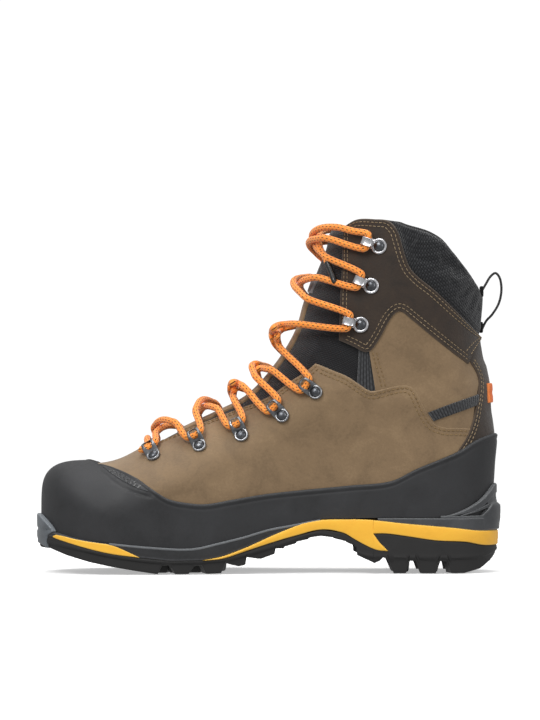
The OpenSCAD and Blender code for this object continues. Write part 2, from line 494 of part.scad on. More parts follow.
// Pull loop of flat webbing, and the two tabs that hold it
LOOP_LINE = [[143.2, 186], [146, 193.6], [149.5, 196], [152, 192], [152.6, 183], [150.5, 175.5],
             [147, 168.5], [144.2, 161]];
loop_path = border(LOOP_LINE, 24);
loop_w = 6;
loop_t = 1.5;
function loop_side(i, out) = let (t = unit(loop_path[min(24, i + 1)] - loop_path[max(0, i - 1)]))
    loop_path[i] + out * [t.y, -t.x];
module pull_loop() color([0.1, 0.1, 0.105])
    translate([0, loop_w / 2, 0]) rotate([90, 0, 0]) linear_extrude(loop_w)
        polygon(concat([for (i = [0 : 24]) loop_side(i, loop_t / 2)],
                       [for (i = [24 : -1 : 0]) loop_side(i, -loop_t / 2)]));
module pull_loop_anchor() color([0.1, 0.1, 0.105])
    for (tab = [[139.5, 184.6, 140.7], [139.3, 160.6, 141.7]])
        translate([tab[0], -4, tab[1] - 3.4]) cube([tab[2] - tab[0], 8, 5.2]);

// Hardware, drawn on the xy plane with +y up the throat and +z out of the leather
module on_skin(p, side, lift, up) {
    n = skin_normal(p, side);
    x = unit(cross([up.x, 0, up.y], n));
    y = cross(n, x);
    o = skin(p, side, lift);
    multmatrix([[x.x, y.x, n.x, o.x], [x.y, y.y, n.y, o.y], [x.z, y.z, n.z, o.z], [0, 0, 0, 1]]) children();
}
module dome_rivet() {
    translate([0, 0, -1.6]) cylinder(r = 1.6, h = 1.7, $fn = 24);
    rotate_extrude($fn = 32) polygon([[0, 0], [rivet_r, 0], [rivet_r, 0.9], [rivet_r - 0.8, 1.5],
        [3, 2.7], [1.5, 3.1], [0, 3.2]]);
}
module pill(l, w, h) {
    translate([0, (l - w) / 2, 0]) cylinder(d = w, h = h, $fn = 24);
    translate([0, -(l - w) / 2, 0]) cylinder(d = w, h = h, $fn = 24);
    translate([-w / 2, -(l - w) / 2, 0]) cube([w, l - w, h]);
}
module eyelet_loop() {
    difference() {
        translate([0, 4, 0]) pill(16, 9, 1);
        cylinder(r = rivet_r - 3.2, h = 3, center = true, $fn = 24);
        translate([0, 7.2, -1]) pill(5.6, 5, 3);
    }
    for (s = [-1, 1]) translate([s * 3.5 - 0.5, 4.4, 0.9]) cube([1, 6, 4.4]);
    translate([-4, 4.4, 5.2]) cube([8, 6, 1]);
}
module speed_hook() {
    difference() {
        pill(11, 10.6, 0.9);
        cylinder(r = 1.8, h = 3, center = true, $fn = 24);
    }
    translate([-2.6, 3, 0]) cube([5.2, 6, 0.9]);
    translate([-2.6, 8, 0]) cube([5.2, 1, 6]);
    translate([-2.6, 1.8, 5.2]) cube([5.2, 7.2, 0.9]);
}
function eyelet_place(e) = down_from(e.x, e.y + eyelet_turn);
function hook_place(h) = down_from(h.x, h.y + hook_turn);
function toward_ridge(s) = let (r = near_ridge(station(s))) [r[1], r[2]];
module eyelet_loops() color([0.37, 0.38, 0.39])
    for (i = [0 : 3], side = [-1, 1])
        on_skin(eyelet_place(EYELETS[i]), side, glue, toward_ridge(EYELETS[i].x)) eyelet_loop();
module lock_hooks() color([0.37, 0.38, 0.39])
    for (side = [-1, 1])
        on_skin(eyelet_place(EYELETS[4]), side, glue, toward_ridge(EYELETS[4].x)) eyelet_loop();
module eyelet_rivets() color([0.6, 0.6, 0.62])
    for (e = EYELETS, side = [-1, 1])
        on_skin(eyelet_place(e), side, glue + 1, toward_ridge(e.x)) dome_rivet();
module speed_hooks() color([0.75, 0.75, 0.77])
    for (h = HOOKS, side = [-1, 1]) on_skin(hook_place(h), side, glue, toward_ridge(h.x)) speed_hook();
module hook_rivets() color([0.3, 0.31, 0.32])
    for (h = HOOKS, side = [-1, 1])
        on_skin(hook_place(h), side, glue + 0.9, toward_ridge(h.x)) scale(0.8) dome_rivet();

// Lace: two strands that cross over the ridge between one station and the next
lace_r = lace_d / 2;
lace_rest = lace_r + 1.4;
lace_hump = 1.6;
STATIONS = concat(EYELETS, HOOKS);
function cross_point(a, b, side, t, over) = let (sa = station(a.x), sb = station(b.x),
        p = lerp(sa, sb, t), r = near_ridge(p), turn = side * lerp(-a.y, b.y, t),
        base = p + [r[1], r[2]] * r[0],
        q = base - [r[1], r[2]] * top_round(base.y) * (1 - cos(turn)))
    [q, sign(turn), lace_rest + (lace_hump + over) * sin(180 * t)];
function lace_points(C) = [for (c = C) skin(c[0], c[1], c[2])];
function lace_normals(C) = [for (c = C) skin_normal(c[0], c[1])];
module lace_run(C) tube(lace_points(C), lace_normals(C), lace_r, 8);
function over_of(side) = side > 0 ? lace_d + 0.4 : 0;
// A strand on one side at station k crosses to the other side at station k + 1
function run_of(k0, k1, side) = [for (k = [k0 : k1]) let (s = k % 2 == 0 ? side : -side)
    each [for (i = [0 : 9]) cross_point(STATIONS[k], STATIONS[k + 1], s, i / 10, over_of(side))]];
module lace_lower() color([1, 0.55, 0.2]) {
    for (side = [-1, 1])
        lace_run(concat(run_of(0, 3, side),
                        [cross_point(STATIONS[3], STATIONS[4], -side, 1, over_of(side))]));
    lace_run([for (i = [0 : 12]) let (a = lerp(-EYELETS[0].y + 2, EYELETS[0].y - 2, i / 12))
        [down_from(EYELETS[0].x - 4, a), sign(a), lace_rest]]);
}
lace_cut = 0.9;
module lace_flex() color([1, 0.55, 0.2])
    for (side = [-1, 1])
        lace_run([for (i = [0 : 12])
            cross_point(STATIONS[4], STATIONS[5], side, lace_cut * i / 12, over_of(side))]);
module lace_upper() color([1, 0.55, 0.2])
    for (side = [-1, 1]) {
        lace_run(concat(run_of(5, 6, side),
                        [cross_point(STATIONS[6], STATIONS[7], -side, 1, over_of(side))]));
        lace_run([for (i = [0 : 12]) let (t = i / 12)
            [down_from(lerp(219, 205, t), side * lerp(53, -30, t)), sign(side * lerp(53, -30, t)),
             lace_rest + (side > 0 ? lace_d : 0) * sin(180 * t)]]);
    }
module aglets() color([0.12, 0.12, 0.12])
    for (side = [-1, 1])
        on_skin(down_from(203.5, -side * 33), -side, lace_rest, [0.3, 1]) rotate([90, 0, 0])
            cylinder(d = lace_d - 0.6, h = 16, $fn = 24);

module sized() scale(size_k) children();

sized() {
    outsole();
    midsole_forefoot();
    midsole_toe_insert();
    midsole_arch_heel();
    toe_bumper();
    heel_frame();
    shank();
    lasting_board();
    footbed();
    toe_puff();
    heel_counter();
    vamp();
    rand();
    rand_toe_inset();
    rear_quarter();
    heel_stay();
    heel_tab();
    side_strap();
    ankle_gusset();
    gusset_webbing();
    tongue_lower();
    tongue_flex();
    tongue_upper();
    tongue_strip();
    tongue_label();
    lining_foot();
    lining_flex();
    lining_cuff();
    cuff_leather();
    collar_padding();
    collar_binding();
    pull_loop();
    pull_loop_anchor();
    eyelet_loops();
    eyelet_rivets();
    lock_hooks();
    speed_hooks();
    hook_rivets();
    lace_lower();
    lace_flex();
    lace_upper();
    aglets();
}
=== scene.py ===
"""Looks of a right mountaineering boot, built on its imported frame.

Side-view places are in millimetres, x from the toe (-) to the heel (+) and z up. They are
laid on the lasted surface, and the meshes are made in metres in the frame's own axes.
"""

import logging
import math
from dataclasses import dataclass, field
from enum import Enum, Flag, auto
from typing import Callable, Optional, Sequence, Union

import bmesh
import bpy
import numpy as np
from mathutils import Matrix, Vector


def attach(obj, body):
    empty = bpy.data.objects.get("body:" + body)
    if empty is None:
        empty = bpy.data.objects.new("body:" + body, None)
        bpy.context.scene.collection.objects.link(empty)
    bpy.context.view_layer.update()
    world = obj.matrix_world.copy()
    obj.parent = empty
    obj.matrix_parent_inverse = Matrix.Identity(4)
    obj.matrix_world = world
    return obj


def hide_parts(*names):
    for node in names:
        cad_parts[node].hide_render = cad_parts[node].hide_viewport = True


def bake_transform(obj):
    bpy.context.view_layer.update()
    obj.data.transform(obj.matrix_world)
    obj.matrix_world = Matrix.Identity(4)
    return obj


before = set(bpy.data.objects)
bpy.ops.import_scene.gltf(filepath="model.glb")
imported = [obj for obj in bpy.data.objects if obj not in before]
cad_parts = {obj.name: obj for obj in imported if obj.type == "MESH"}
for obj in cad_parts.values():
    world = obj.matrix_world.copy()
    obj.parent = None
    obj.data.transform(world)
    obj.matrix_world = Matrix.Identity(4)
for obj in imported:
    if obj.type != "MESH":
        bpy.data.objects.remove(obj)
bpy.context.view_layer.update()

log = logging.getLogger("boot")
MM = 0.001
Array = np.ndarray
Knots = Sequence[tuple[float, float]]
Colour = tuple[float, float, float]


class Rides(Enum):
    """What a piece moves with."""

    FOOT = "foot"
    CUFF = "cuff"
    LOOP = "pull_loop"
    FOLDING = "foot and cuff"


# ---------------------------------------------------------------- lines and numbers


def lerp(a: Array, b: Array, t: Array) -> Array:
    """The point a share t of the way from a to b."""
    return a + (b - a) * t


def smooth(t: Array) -> Array:
    """A soft step from 0 to 1."""
    u = np.clip(t, 0.0, 1.0)
    return u * u * (3 - 2 * u)


def unit(v: Array) -> Array:
    """v at length 1."""
    return v / np.maximum(np.linalg.norm(v, axis=-1, keepdims=True), 1e-12)


def bell(x: Array, centre: float, width: float) -> Array:
    """A smooth hump of height 1."""
    return np.exp(-(((x - centre) / width) ** 2))


def curve(knots: Knots, x: Array) -> Array:
    """A smooth line y(x) through knots whose x rises.

    Args:
        knots: (x, y) pairs.
        x: where to read the line.

    Returns:
        y at each x.
    """
    px, py = np.asarray(knots, float).T
    x = np.asarray(x, float)
    slope = np.gradient(py, px) if len(px) < 3 else np.concatenate(
        [[(py[1] - py[0]) / (px[1] - px[0])],
         (py[2:] - py[:-2]) / (px[2:] - px[:-2]),
         [(py[-1] - py[-2]) / (px[-1] - px[-2])]])
    i = np.clip(np.searchsorted(px, x, side="right") - 1, 0, len(px) - 2)
    h = px[i + 1] - px[i]
    t = np.clip((x - px[i]) / h, 0.0, 1.0)
    return (py[i] * (2 * t**3 - 3 * t**2 + 1) + slope[i] * h * (t**3 - 2 * t**2 + t)
            + py[i + 1] * (3 * t**2 - 2 * t**3) + slope[i + 1] * h * (t**3 - t**2))


def swap(knots: Knots) -> Knots:
    """The same knots read as x(y)."""
    return [(b, a) for a, b in knots]


def lengths(points: Array) -> Array:
    """How far along the line each point is."""
    steps = np.linalg.norm(np.diff(points, axis=0), axis=1)
    return np.concatenate([[0.0], np.cumsum(steps)])


def at_lengths(points: Array, places: Array) -> Array:
    """The points of a line at these lengths along it."""
    along = lengths(points)
    return np.stack([np.interp(places, along, c) for c in points.T], axis=-1)


def resample(points: Array, count: int) -> Array:
    """The line again with count points, evenly spaced."""
    return at_lengths(points, np.linspace(0, lengths(points)[-1], count))


def _soft_run(q: Array, per_span: int = 24) -> Array:
    """A smooth line through q, with tangents from the neighbours."""
    if len(q) < 3:
        return q
    t = np.concatenate([[0.0], np.cumsum(np.linalg.norm(np.diff(q, axis=0), axis=1) ** 0.5)])
    fine = np.interp(np.arange((len(q) - 1) * per_span + 1) / per_span, np.arange(len(q)), t)
    return np.stack([curve(list(zip(t, c)), fine) for c in q.T], axis=-1)


def straight_run(start: Array, end: Array, count: int) -> Array:
    """Evenly spaced points from start to end."""
    return np.stack([np.linspace(a, b, count) for a, b in zip(start, end)], -1)


def lengths_across(grid: Array) -> Array:
    """How far along its own row each point of a grid is."""
    steps = np.linalg.norm(np.diff(grid, axis=1), axis=-1)
    return np.cumsum(np.concatenate([np.zeros((len(grid), 1)), steps], 1), 1)


def quads(n: int, m: int, rows: int, base: int = 0) -> list[tuple[int, ...]]:
    """The faces of a grid of vertices.

    Args:
        n: vertices along it.
        m: vertices across it.
        rows: faces across it; as many as m when it closes on itself.
        base: the number of its first vertex.

    Returns:
        Vertex numbers of each face.
    """
    return [(base + i * m + j, base + i * m + (j + 1) % m, base + (i + 1) * m + (j + 1) % m,
             base + (i + 1) * m + j) for i in range(n - 1) for j in range(rows)]


def spline(knots: Sequence[Sequence[float]], count: int) -> Array:
    """A smooth line through knots, evenly spaced. A knot given twice is a corner.

    Args:
        knots: points in two or three dimensions.
        count: how many points the line has.

    Returns:
        The line's points.
    """
    p = np.asarray(knots, float)
    cuts = [0] + [i + 1 for i in range(len(p) - 1) if np.allclose(p[i], p[i + 1])] + [len(p)]
    return resample(np.concatenate([_soft_run(p[a:b]) for a, b in zip(cuts, cuts[1:])]), count)


def graded(total: float, middle: int, first: bool, last: bool) -> Array:
    """Places along a length, close together where an edge rolls over.

    Args:
        total: the length.
        middle: how many even steps lie between the edges.
        first: whether the start is an edge.
        last: whether the end is an edge.

    Returns:
        Rising places from 0 to total.
    """
    fine = np.array([0, 0.12, 0.35, 0.7, 1.1, 1.7, 2.6]) * min(1.0, total / 9)
    a = fine if first else np.zeros(1)
    b = total - fine[::-1] if last else np.full(1, total)
    return np.concatenate([a, np.linspace(a[-1], b[0], middle + 1)[1:-1], b])


# ---------------------------------------------------------------- the lasted surface


@dataclass
class Last:
    """The foot shape that the upper is pulled over: offset 0 is the leather's outer face."""

    toe_x: float = -148.0
    toe_round: float = 45.0
    heel_round: float = 38.0
    corner: float = 5.0
    dorsal: Knots = ((-175, 70.6), (-140, 70.6), (-112, 71.4), (-98, 74.4), (-84, 81.5), (-68, 90.5),
                     (-52, 98.5), (-34, 107), (-20, 114), (-9.5, 122.5), (1.5, 135.5), (10.3, 148.3),
                     (16.6, 160.7), (21.1, 176.5), (26, 191), (31.5, 204), (36, 216), (40, 227), (44, 240))
    back: Knots = ((20, 144.5), (50, 145), (70, 146), (86, 147), (98, 146), (106, 145), (122, 144.3),
                   (134, 142.4), (146, 139.8), (158, 138.2), (170, 137.8), (185, 138.5), (250, 140))
    foot: Knots = ((-150, 43), (-120, 46.5), (-90, 48.6), (-60, 49), (-35, 46.5), (-10, 42),
                   (20, 38), (50, 36.4), (80, 36), (150, 36))
    shaft: Knots = ((50, 36), (90, 36.6), (112, 38.5), (135, 39.5), (165, 42), (195, 43.8), (240, 45))
    bend: Knots = ((-150, -7), (-100, -3), (-60, 1), (-20, 3.6), (20, 3.8), (60, 1.6), (110, 0), (150, 0))
    bed: Knots = ((-149, 28.6), (-142, 27), (-125, 23), (-103, 20), (-70.6, 17), (-50, 16.5), (-33, 20),
                  (-16.5, 24), (-0.7, 28.6), (16.5, 31.8), (33.7, 35), (53, 35.4), (75, 36), (100, 36),
                  (152, 36))
    ridge: Array = field(init=False)
    ridge_normal: Array = field(init=False)

    def __post_init__(self) -> None:
        """Lays out the ridge line of the instep and its normals."""
        low = np.linspace(-175, -20, 60)
        high = np.linspace(116, 240, 70)
        self.ridge = np.concatenate([np.stack([low, curve(self.dorsal, low)], -1),
                                     np.stack([curve(swap(self.dorsal), high), high], -1)])
        t = unit(np.gradient(self.ridge, axis=0))
        self.ridge_normal = np.stack([-t[:, 1], t[:, 0]], -1)

    def back_x(self, z: Array) -> Array:
        """The heel line's x at height z."""
        return curve(self.back, z)

    def top_round(self, z: Array) -> Array:
        """How far below the ridge the surface starts to round over."""
        return lerp(36.0, 58.0, smooth((np.asarray(z) - 75) / 75))

    def half(self, x: Array, z: Array) -> Array:
        """Half the boot's width."""
        return lerp(curve(self.foot, x), curve(self.shaft, z), smooth((z - 55) / 55))

    def near_ridge(self, p: Array) -> tuple[Array, Array]:
        """Distance to the ridge line, and its normal there.

        Args:
            p: side-view points, n by 2.

        Returns:
            n distances, and n by 2 normals.
        """
        a, b = self.ridge[:-1], self.ridge[1:]
        s = b - a
        size = (s * s).sum(-1)
        far, normal = np.empty(len(p)), np.empty((len(p), 2))
        for k in range(0, len(p), 8000):
            q = p[k:k + 8000, None, :]
            t = np.clip(((q - a) * s).sum(-1) / size, 0, 1)
            gap = np.linalg.norm(q - (a + t[..., None] * s), axis=-1)
            i = gap.argmin(1)
            rows = np.arange(len(i))
            far[k:k + 8000] = gap[rows, i]
            ti = t[rows, i][:, None]
            normal[k:k + 8000] = lerp(self.ridge_normal[i], self.ridge_normal[i + 1], ti)
        return far, unit(normal)

    def relief(self, x: Array, z: Array, side: Array) -> Array:
        """Slow swells of worn leather, in mm."""
        wave = (0.34 * np.sin(x / 17 + 1.3 * side) * np.sin(z / 13 + 0.7)
                + 0.22 * np.sin((x + z) / 9 + 2.1 * side) * np.sin((x - 1.4 * z) / 15))
        crease = (-0.5 * bell(x + 0.55 * (z - 70), -47, 3.2) - 0.4 * bell(x + 0.7 * (z - 70), -31, 3.4)
                  ) * smooth((z - 52) / 10)
        ankle = -0.55 * bell(z - 0.35 * (x - 80), 118, 3.6) * bell(x, 78, 26)
        return (wave + crease + ankle) * smooth((z - 44) / 16) * smooth((235 - z) / 30)

    def rise(self, p: Array) -> tuple[Array, Array, Array]:
        """How close to the outline a point is, 0 to 1, and its slopes along x and z."""
        x, z = p[:, 0], p[:, 1]
        far, normal = self.near_ridge(p)
        top = self.top_round(z)
        a = np.maximum(0, 1 - (x - self.toe_x) / self.toe_round)
        b = np.maximum(0, 1 - far / top)
        c = np.maximum(0, 1 - (self.back_x(z) - x) / self.heel_round)
        e = self.corner
        n = (a**e + b**e + c**e) ** (1 / e)
        q = np.where(n < 0.01, 0.0, np.maximum(n, 0.01) ** (1 - e))
        fa, fb, fc = a ** (e - 1) / self.toe_round, b ** (e - 1) / top, c ** (e - 1) / self.heel_round
        tilt = (self.back_x(z + 1) - self.back_x(z - 1)) / 2
        return np.minimum(1, n), q * (fb * normal[:, 0] + fc - fa), q * (fb * normal[:, 1] - fc * tilt)

    def skin(self, p: Array, side: Union[float, Array], out: Union[float, Array],
             swell: bool = True) -> tuple[Array, Array]:
        """Points of the surface moved out along its normal.

        Args:
            p: side-view points, any shape ending in 2.
            side: -1 inner, 1 outer, 0 on the outline.
            out: offset in mm.
            swell: whether the leather's slow swells are added.

        Returns:
            Points and unit normals, in mm, ending in 3.
        """
        p = np.asarray(p, float)
        shape = p.shape[:-1]
        q = p.reshape(-1, 2)
        side = np.broadcast_to(side, shape).reshape(-1).astype(float)
        out = np.broadcast_to(out, shape).reshape(-1).astype(float)
        k, gx, gz = self.rise(q)
        w = self.half(q[:, 0], q[:, 1])
        s = np.sqrt(np.maximum(0, 1 - k * k))
        g = unit(np.stack([k * gx, side * s / w, k * gz], -1))
        y = curve(self.bend, q[:, 0]) * (1 - smooth((q[:, 1] - 50) / 70)) + side * w * s
        if swell:
            out = out + self.relief(q[:, 0], q[:, 1], side * s)
        base = np.stack([q[:, 0], y, q[:, 1]], -1) + out[:, None] * g
        return base.reshape(*shape, 3), g.reshape(*shape, 3)

    def bed_at(self, x: Array, up: float = 0.0) -> Array:
        """Side-view points on the sole's top line."""
        return np.stack([x, curve(self.bed, x) + up], -1)

    def ridge_z(self, x: Array) -> Array:
        """Height of the outline over the forefoot and round the toe."""
        a = np.clip(1 - (x - self.toe_x) / self.toe_round, 0, 1)
        drop = 1 - np.maximum(0, 1 - a**self.corner) ** (1 / self.corner)
        return curve(self.dorsal, x) - 36.0 * drop

    def station(self, s: Array) -> Array:
        """The ridge point at x = s on the foot, or at z = s on the shaft."""
        s = np.asarray(s, float)
        low = np.stack([s, curve(self.dorsal, s)], -1)
        high = np.stack([curve(swap(self.dorsal), s), s], -1)
        return np.where((s < 60)[..., None], low, high)

    def beside(self, p: Array, angle: Array) -> Array:
        """Side-view points an angle down from ridge points p."""
        p = np.asarray(p, float).reshape(-1, 2)
        _, normal = self.near_ridge(p)
        drop = self.top_round(p[:, 1]) * (1 - np.cos(np.radians(angle)))
        return p - normal * np.asarray(drop).reshape(-1, 1)

    def down_from(self, s: Array, angle: Array) -> Array:
        """Side-view points an angle down from the ridge at station s."""
        return self.beside(self.station(np.atleast_1d(s)), angle)

    def over(self, s: Array, angle: Array, out: Array) -> tuple[Array, Array]:
        """Points over the instep at stations s, turned by angle from the ridge."""
        angle = np.asarray(angle, float)
        return self.skin(self.down_from(s, angle), np.sign(angle), out)


LAST = Last()


# ---------------------------------------------------------------- meshes


@dataclass
class Form:
    """A mesh in the making: vertices in mm, faces, map places in m and distances from an edge."""

    verts: list[Array] = field(default_factory=list)
    faces: list[Sequence[int]] = field(default_factory=list)
    maps: list[Array] = field(default_factory=list)
    edges: list[Array] = field(default_factory=list)
    count: int = 0

    def add(self, verts: Array, faces: Sequence[Sequence[int]], uv: Optional[Array] = None,
            edge: Union[float, Array] = 9.0) -> None:
        """Adds one shape.

        Args:
            verts: n by 3, in mm.
            faces: vertex numbers within this shape.
            uv: n by 2, in metres.
            edge: distance from the piece's edge, in mm.
        """
        verts = np.asarray(verts, float).reshape(-1, 3)
        self.verts.append(verts)
        self.faces.extend([tuple(int(i) + self.count for i in f) for f in faces])
        self.maps.append(np.zeros((len(verts), 2)) if uv is None else np.asarray(uv, float).reshape(-1, 2))
        self.edges.append(np.broadcast_to(edge, (len(verts),)).astype(float))
        self.count += len(verts)

    def grid(self, points: Array, uv: Optional[Array] = None, edge: Union[float, Array] = 9.0,
             around: bool = False, caps: bool = False) -> None:
        """Adds a grid of quads, closed round its second direction if asked.

        Args:
            points: n by m by 3.
            uv: n by m by 2.
            edge: n by m, or one value.
            around: whether the last row joins the first.
            caps: whether both ends are closed.
        """
        n, m = points.shape[:2]
        faces = quads(n, m, m if around else m - 1)
        if caps:
            faces += [tuple(range(m - 1, -1, -1)), tuple((n - 1) * m + j for j in range(m))]
        self.add(points, faces, uv, edge if np.isscalar(edge) else np.asarray(edge).reshape(-1))

    def tube(self, line: Array, across: Array, radius: Union[float, Array], sides: int = 10,
             flat: float = 1.0, closed: bool = False) -> None:
        """Adds a round or flattened tube along a line.

        Args:
            line: n by 3 points.
            across: rough directions of the tube's top.
            radius: one value, or one a point.
            sides: how many sides it has.
            flat: height of the section as a share of its width.
            closed: whether its end joins its start.
        """
        if closed:
            line = np.concatenate([line, line[:1]])
            across = np.concatenate([across, across[:1]])
        t = unit(np.gradient(line, axis=0))
        if closed:
            t[0] = t[-1] = unit(line[1] - line[-2])
        b = unit(np.cross(t, across))
        c = np.cross(b, t)
        turn = np.linspace(0, 2 * math.pi, sides + 1)
        r = np.broadcast_to(radius, (len(line),))[:, None, None]
        ring = line[:, None] + r * (np.cos(turn)[None, :, None] * b[:, None]
                                    + flat * np.sin(turn)[None, :, None] * c[:, None])
        along = lengths(line) * MM
        uv = np.stack(np.broadcast_arrays(turn[None, :] / (2 * math.pi), along[:, None]), -1)
        n, m = ring.shape[:2]
        faces = quads(n, m, sides)
        if not closed:
            faces += [tuple(range(sides - 1, -1, -1)), tuple((n - 1) * m + j for j in range(sides))]
        self.add(ring, faces, uv)

    def make(self, name: str, material: bpy.types.Material, sharp: float = 50.0,
             weld: float = 0.004) -> bpy.types.Object:
        """Turns the shapes into one object.

        Args:
            name: the piece's name.
            material: its finish.
            sharp: edges that turn by more than this many degrees stay crisp.
            weld: vertices closer than this, in mm, become one.

        Returns:
            The object, in place.
        """
        mesh = bpy.data.meshes.new(name)
        mesh.from_pydata((np.concatenate(self.verts) * MM).tolist(), [], self.faces)
        store = mesh.attributes.new("edge", "FLOAT", "POINT")
        store.data.foreach_set("value", np.concatenate(self.edges).astype(np.float32))
        loops = np.empty(len(mesh.loops), np.int32)
        mesh.loops.foreach_get("vertex_index", loops)
        layer = mesh.uv_layers.new(name="cut")
        layer.data.foreach_set("uv", np.concatenate(self.maps)[loops].astype(np.float32).ravel())
        bm = bmesh.new()
        bm.from_mesh(mesh)
        bmesh.ops.remove_doubles(bm, verts=bm.verts, dist=weld * MM)
        bmesh.ops.dissolve_degenerate(bm, edges=bm.edges, dist=weld * MM * 0.2)
        bmesh.ops.recalc_face_normals(bm, faces=bm.faces)
        limit = math.radians(sharp)
        for e in bm.edges:
            e.smooth = len(e.link_faces) == 2 and e.calc_face_angle(0.0) < limit
        for f in bm.faces:
            f.smooth = True
        bm.to_mesh(mesh)
        bm.free()
        mesh.materials.append(material)
        obj = bpy.data.objects.new(name, mesh)
        bpy.context.scene.collection.objects.link(obj)
        return obj


def place(obj: bpy.types.Object, rides: Rides, nodes: Sequence[str] = ()) -> bpy.types.Object:
    """Says what a piece moves with and the CAD nodes it stands for.

    Args:
        obj: the piece.
        rides: what it moves with.
        nodes: CAD nodes that it replaces.

    Returns:
        The same piece.
    """
    if rides is Rides.FOLDING:
        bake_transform(obj)
    else:
        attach(obj, rides.value)
    if nodes:
        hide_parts(*nodes)
    log.info("%s: %d faces, rides %s", obj.name, len(obj.data.polygons), rides.value)
    return obj


class Rim(Flag):
    """The four borders of a sheet."""

    NONE = 0
    LOW = auto()
    HIGH = auto()
    FIRST = auto()
    LAST = auto()


ALL_RIMS = Rim.LOW | Rim.HIGH | Rim.FIRST | Rim.LAST


@dataclass
class Sheet:
    """A closed sheet of leather, rubber or cloth laid on the last between two borders.

    Attributes:
        low: lower border, side-view points.
        high: upper border, as many points.
        outer: offset of the outer face.
        inner: offset of the inner face.
        rolled: the borders whose edge shows and rolls over.
        seams: the borders that meet the other side in the centre plane.
        ridge_until: columns that start left of this x meet over the ridge.
        roll: radius of the rolled edge.
        step: grid spacing.
        shape: extra offset from side-view points and the distance to the nearest rolled edge.
        sides: -1 inner side, 1 outer side.
    """

    low: Array
    high: Array
    outer: float = 0.0
    inner: float = -2.0
    rolled: Rim = ALL_RIMS
    seams: Rim = Rim.NONE
    ridge_until: float = -999.0
    roll: float = 1.1
    step: float = 3.0
    shape: Optional[Callable[[Array, Array], Array]] = None
    sides: tuple[int, ...] = (-1, 1)

    def columns(self, low: Array, high: Array, shares: Array) -> Array:
        """Side-view points of each column at these shares of the way up."""
        z = lerp(low[:, None, 1], high[:, None, 1], shares)
        pull = smooth((low[:, None, 0] - 60) / 80) * (LAST.back_x(z) - lerp(
            LAST.back_x(low[:, 1])[:, None], LAST.back_x(high[:, 1])[:, None], shares))
        x = lerp(low[:, None, 0], high[:, None, 0], shares) + pull
        if Rim.LAST in self.seams:
            x[-1] = LAST.back_x(z[-1])
        return np.stack([x, z], -1)

    def grid(self) -> tuple[Array, Array, Array, Array]:
        """The sheet's side-view grid.

        Returns:
            Points, distances from the rolled edges, map places, and 0 where sides meet.
        """
        crown = np.sin(np.linspace(0, math.pi / 2, 41))[None, :]
        rough, _ = LAST.skin(self.columns(self.low, self.high, crown), 1, 0, swell=False)
        gap = np.linalg.norm(np.diff(rough, axis=0), axis=-1).mean(1)
        along = np.concatenate([[0.0], np.cumsum(gap)])
        cols = graded(along[-1], max(4, round(along[-1] / self.step)),
                      Rim.FIRST in self.rolled, Rim.LAST in self.rolled)
        low = np.stack([np.interp(cols, along, c) for c in self.low.T], -1)
        high = np.stack([np.interp(cols, along, c) for c in self.high.T], -1)
        dense = self.columns(low, high, crown)
        solid, _ = LAST.skin(dense, 1, 0, swell=False)
        up = lengths_across(solid)
        middle = max(3, round(up[:, -1].max() / self.step))
        meets = low[:, 0] < self.ridge_until
        rows = np.stack([graded(max(u[-1], 1e-3), middle, Rim.LOW in self.rolled, Rim.HIGH in self.rolled)
                         for u in up])
        even = np.stack([np.linspace(0, max(u[-1], 1e-3), rows.shape[1]) for u in up])
        blend = smooth((low[:, :1] - self.ridge_until) / 14)
        rows = lerp(even, rows, blend)
        p = np.stack([np.stack([np.interp(r, u, d[:, k]) for r, u, d in zip(rows, up, dense)])
                      for k in (0, 1)], -1)
        side = np.ones(p.shape[:2])
        side[meets, -1] = 0
        if Rim.FIRST in self.seams:
            side[0] = 0
        if Rim.LAST in self.seams:
            side[-1] = 0
        far = np.full(p.shape[:2], 60.0)
        if Rim.LOW in self.rolled:
            far = np.minimum(far, rows)
        if Rim.HIGH in self.rolled:
            far = np.minimum(far, np.where(meets[:, None], 60.0, rows[:, -1:] - rows))
        if Rim.FIRST in self.rolled:
            far = np.minimum(far, (cols - cols[0])[:, None])
        if Rim.LAST in self.rolled:
            far = np.minimum(far, (cols[-1] - cols)[:, None])
        uv = np.stack(np.broadcast_arrays(cols[:, None] * MM, rows * MM), -1)
        return p, far, uv, side

    def offset(self, p: Array, far: Array) -> Array:
        """Offset of the outer face, rolled over at the edges."""
        fall = 1 - np.minimum(far / self.roll, 1)
        out = self.outer - self.roll * (1 - np.sqrt(np.maximum(0, 1 - fall**2)))
        return out if self.shape is None else out + self.shape(p, far)

    def into(self, form: Form) -> None:
        """Adds the sheet to a form, on each of its sides."""
        p, far, uv, side = self.grid()
        out = self.offset(p, far)
        n, m = p.shape[:2]
        meets = side[:, -1] == 0
        for s in self.sides:
            top, _ = LAST.skin(p, s * side, out)
            bottom, _ = LAST.skin(p, s * side, np.minimum(self.inner, out - 0.3))
            k = n * m
            faces = quads(n, m, m - 1) + quads(n, m, m - 1, k)
            for i in range(n - 1):
                a, b = i * m, (i + 1) * m
                faces.append((a, b, k + b, k + a))
                if not (meets[i] and meets[i + 1]):
                    a, b = a + m - 1, b + m - 1
                    faces.append((a, b, k + b, k + a))
            for j in range(m - 1):
                if Rim.FIRST not in self.seams:
                    faces.append((j, j + 1, k + j + 1, k + j))
                if Rim.LAST not in self.seams:
                    e = (n - 1) * m + j
                    faces.append((e, e + 1, k + e + 1, k + e))
            both = uv * np.array([s, 1.0])
            form.add(np.concatenate([top.reshape(-1, 3), bottom.reshape(-1, 3)]), faces,
                     np.concatenate([both.reshape(-1, 2)] * 2), np.concatenate([far.ravel(), far.ravel()]))


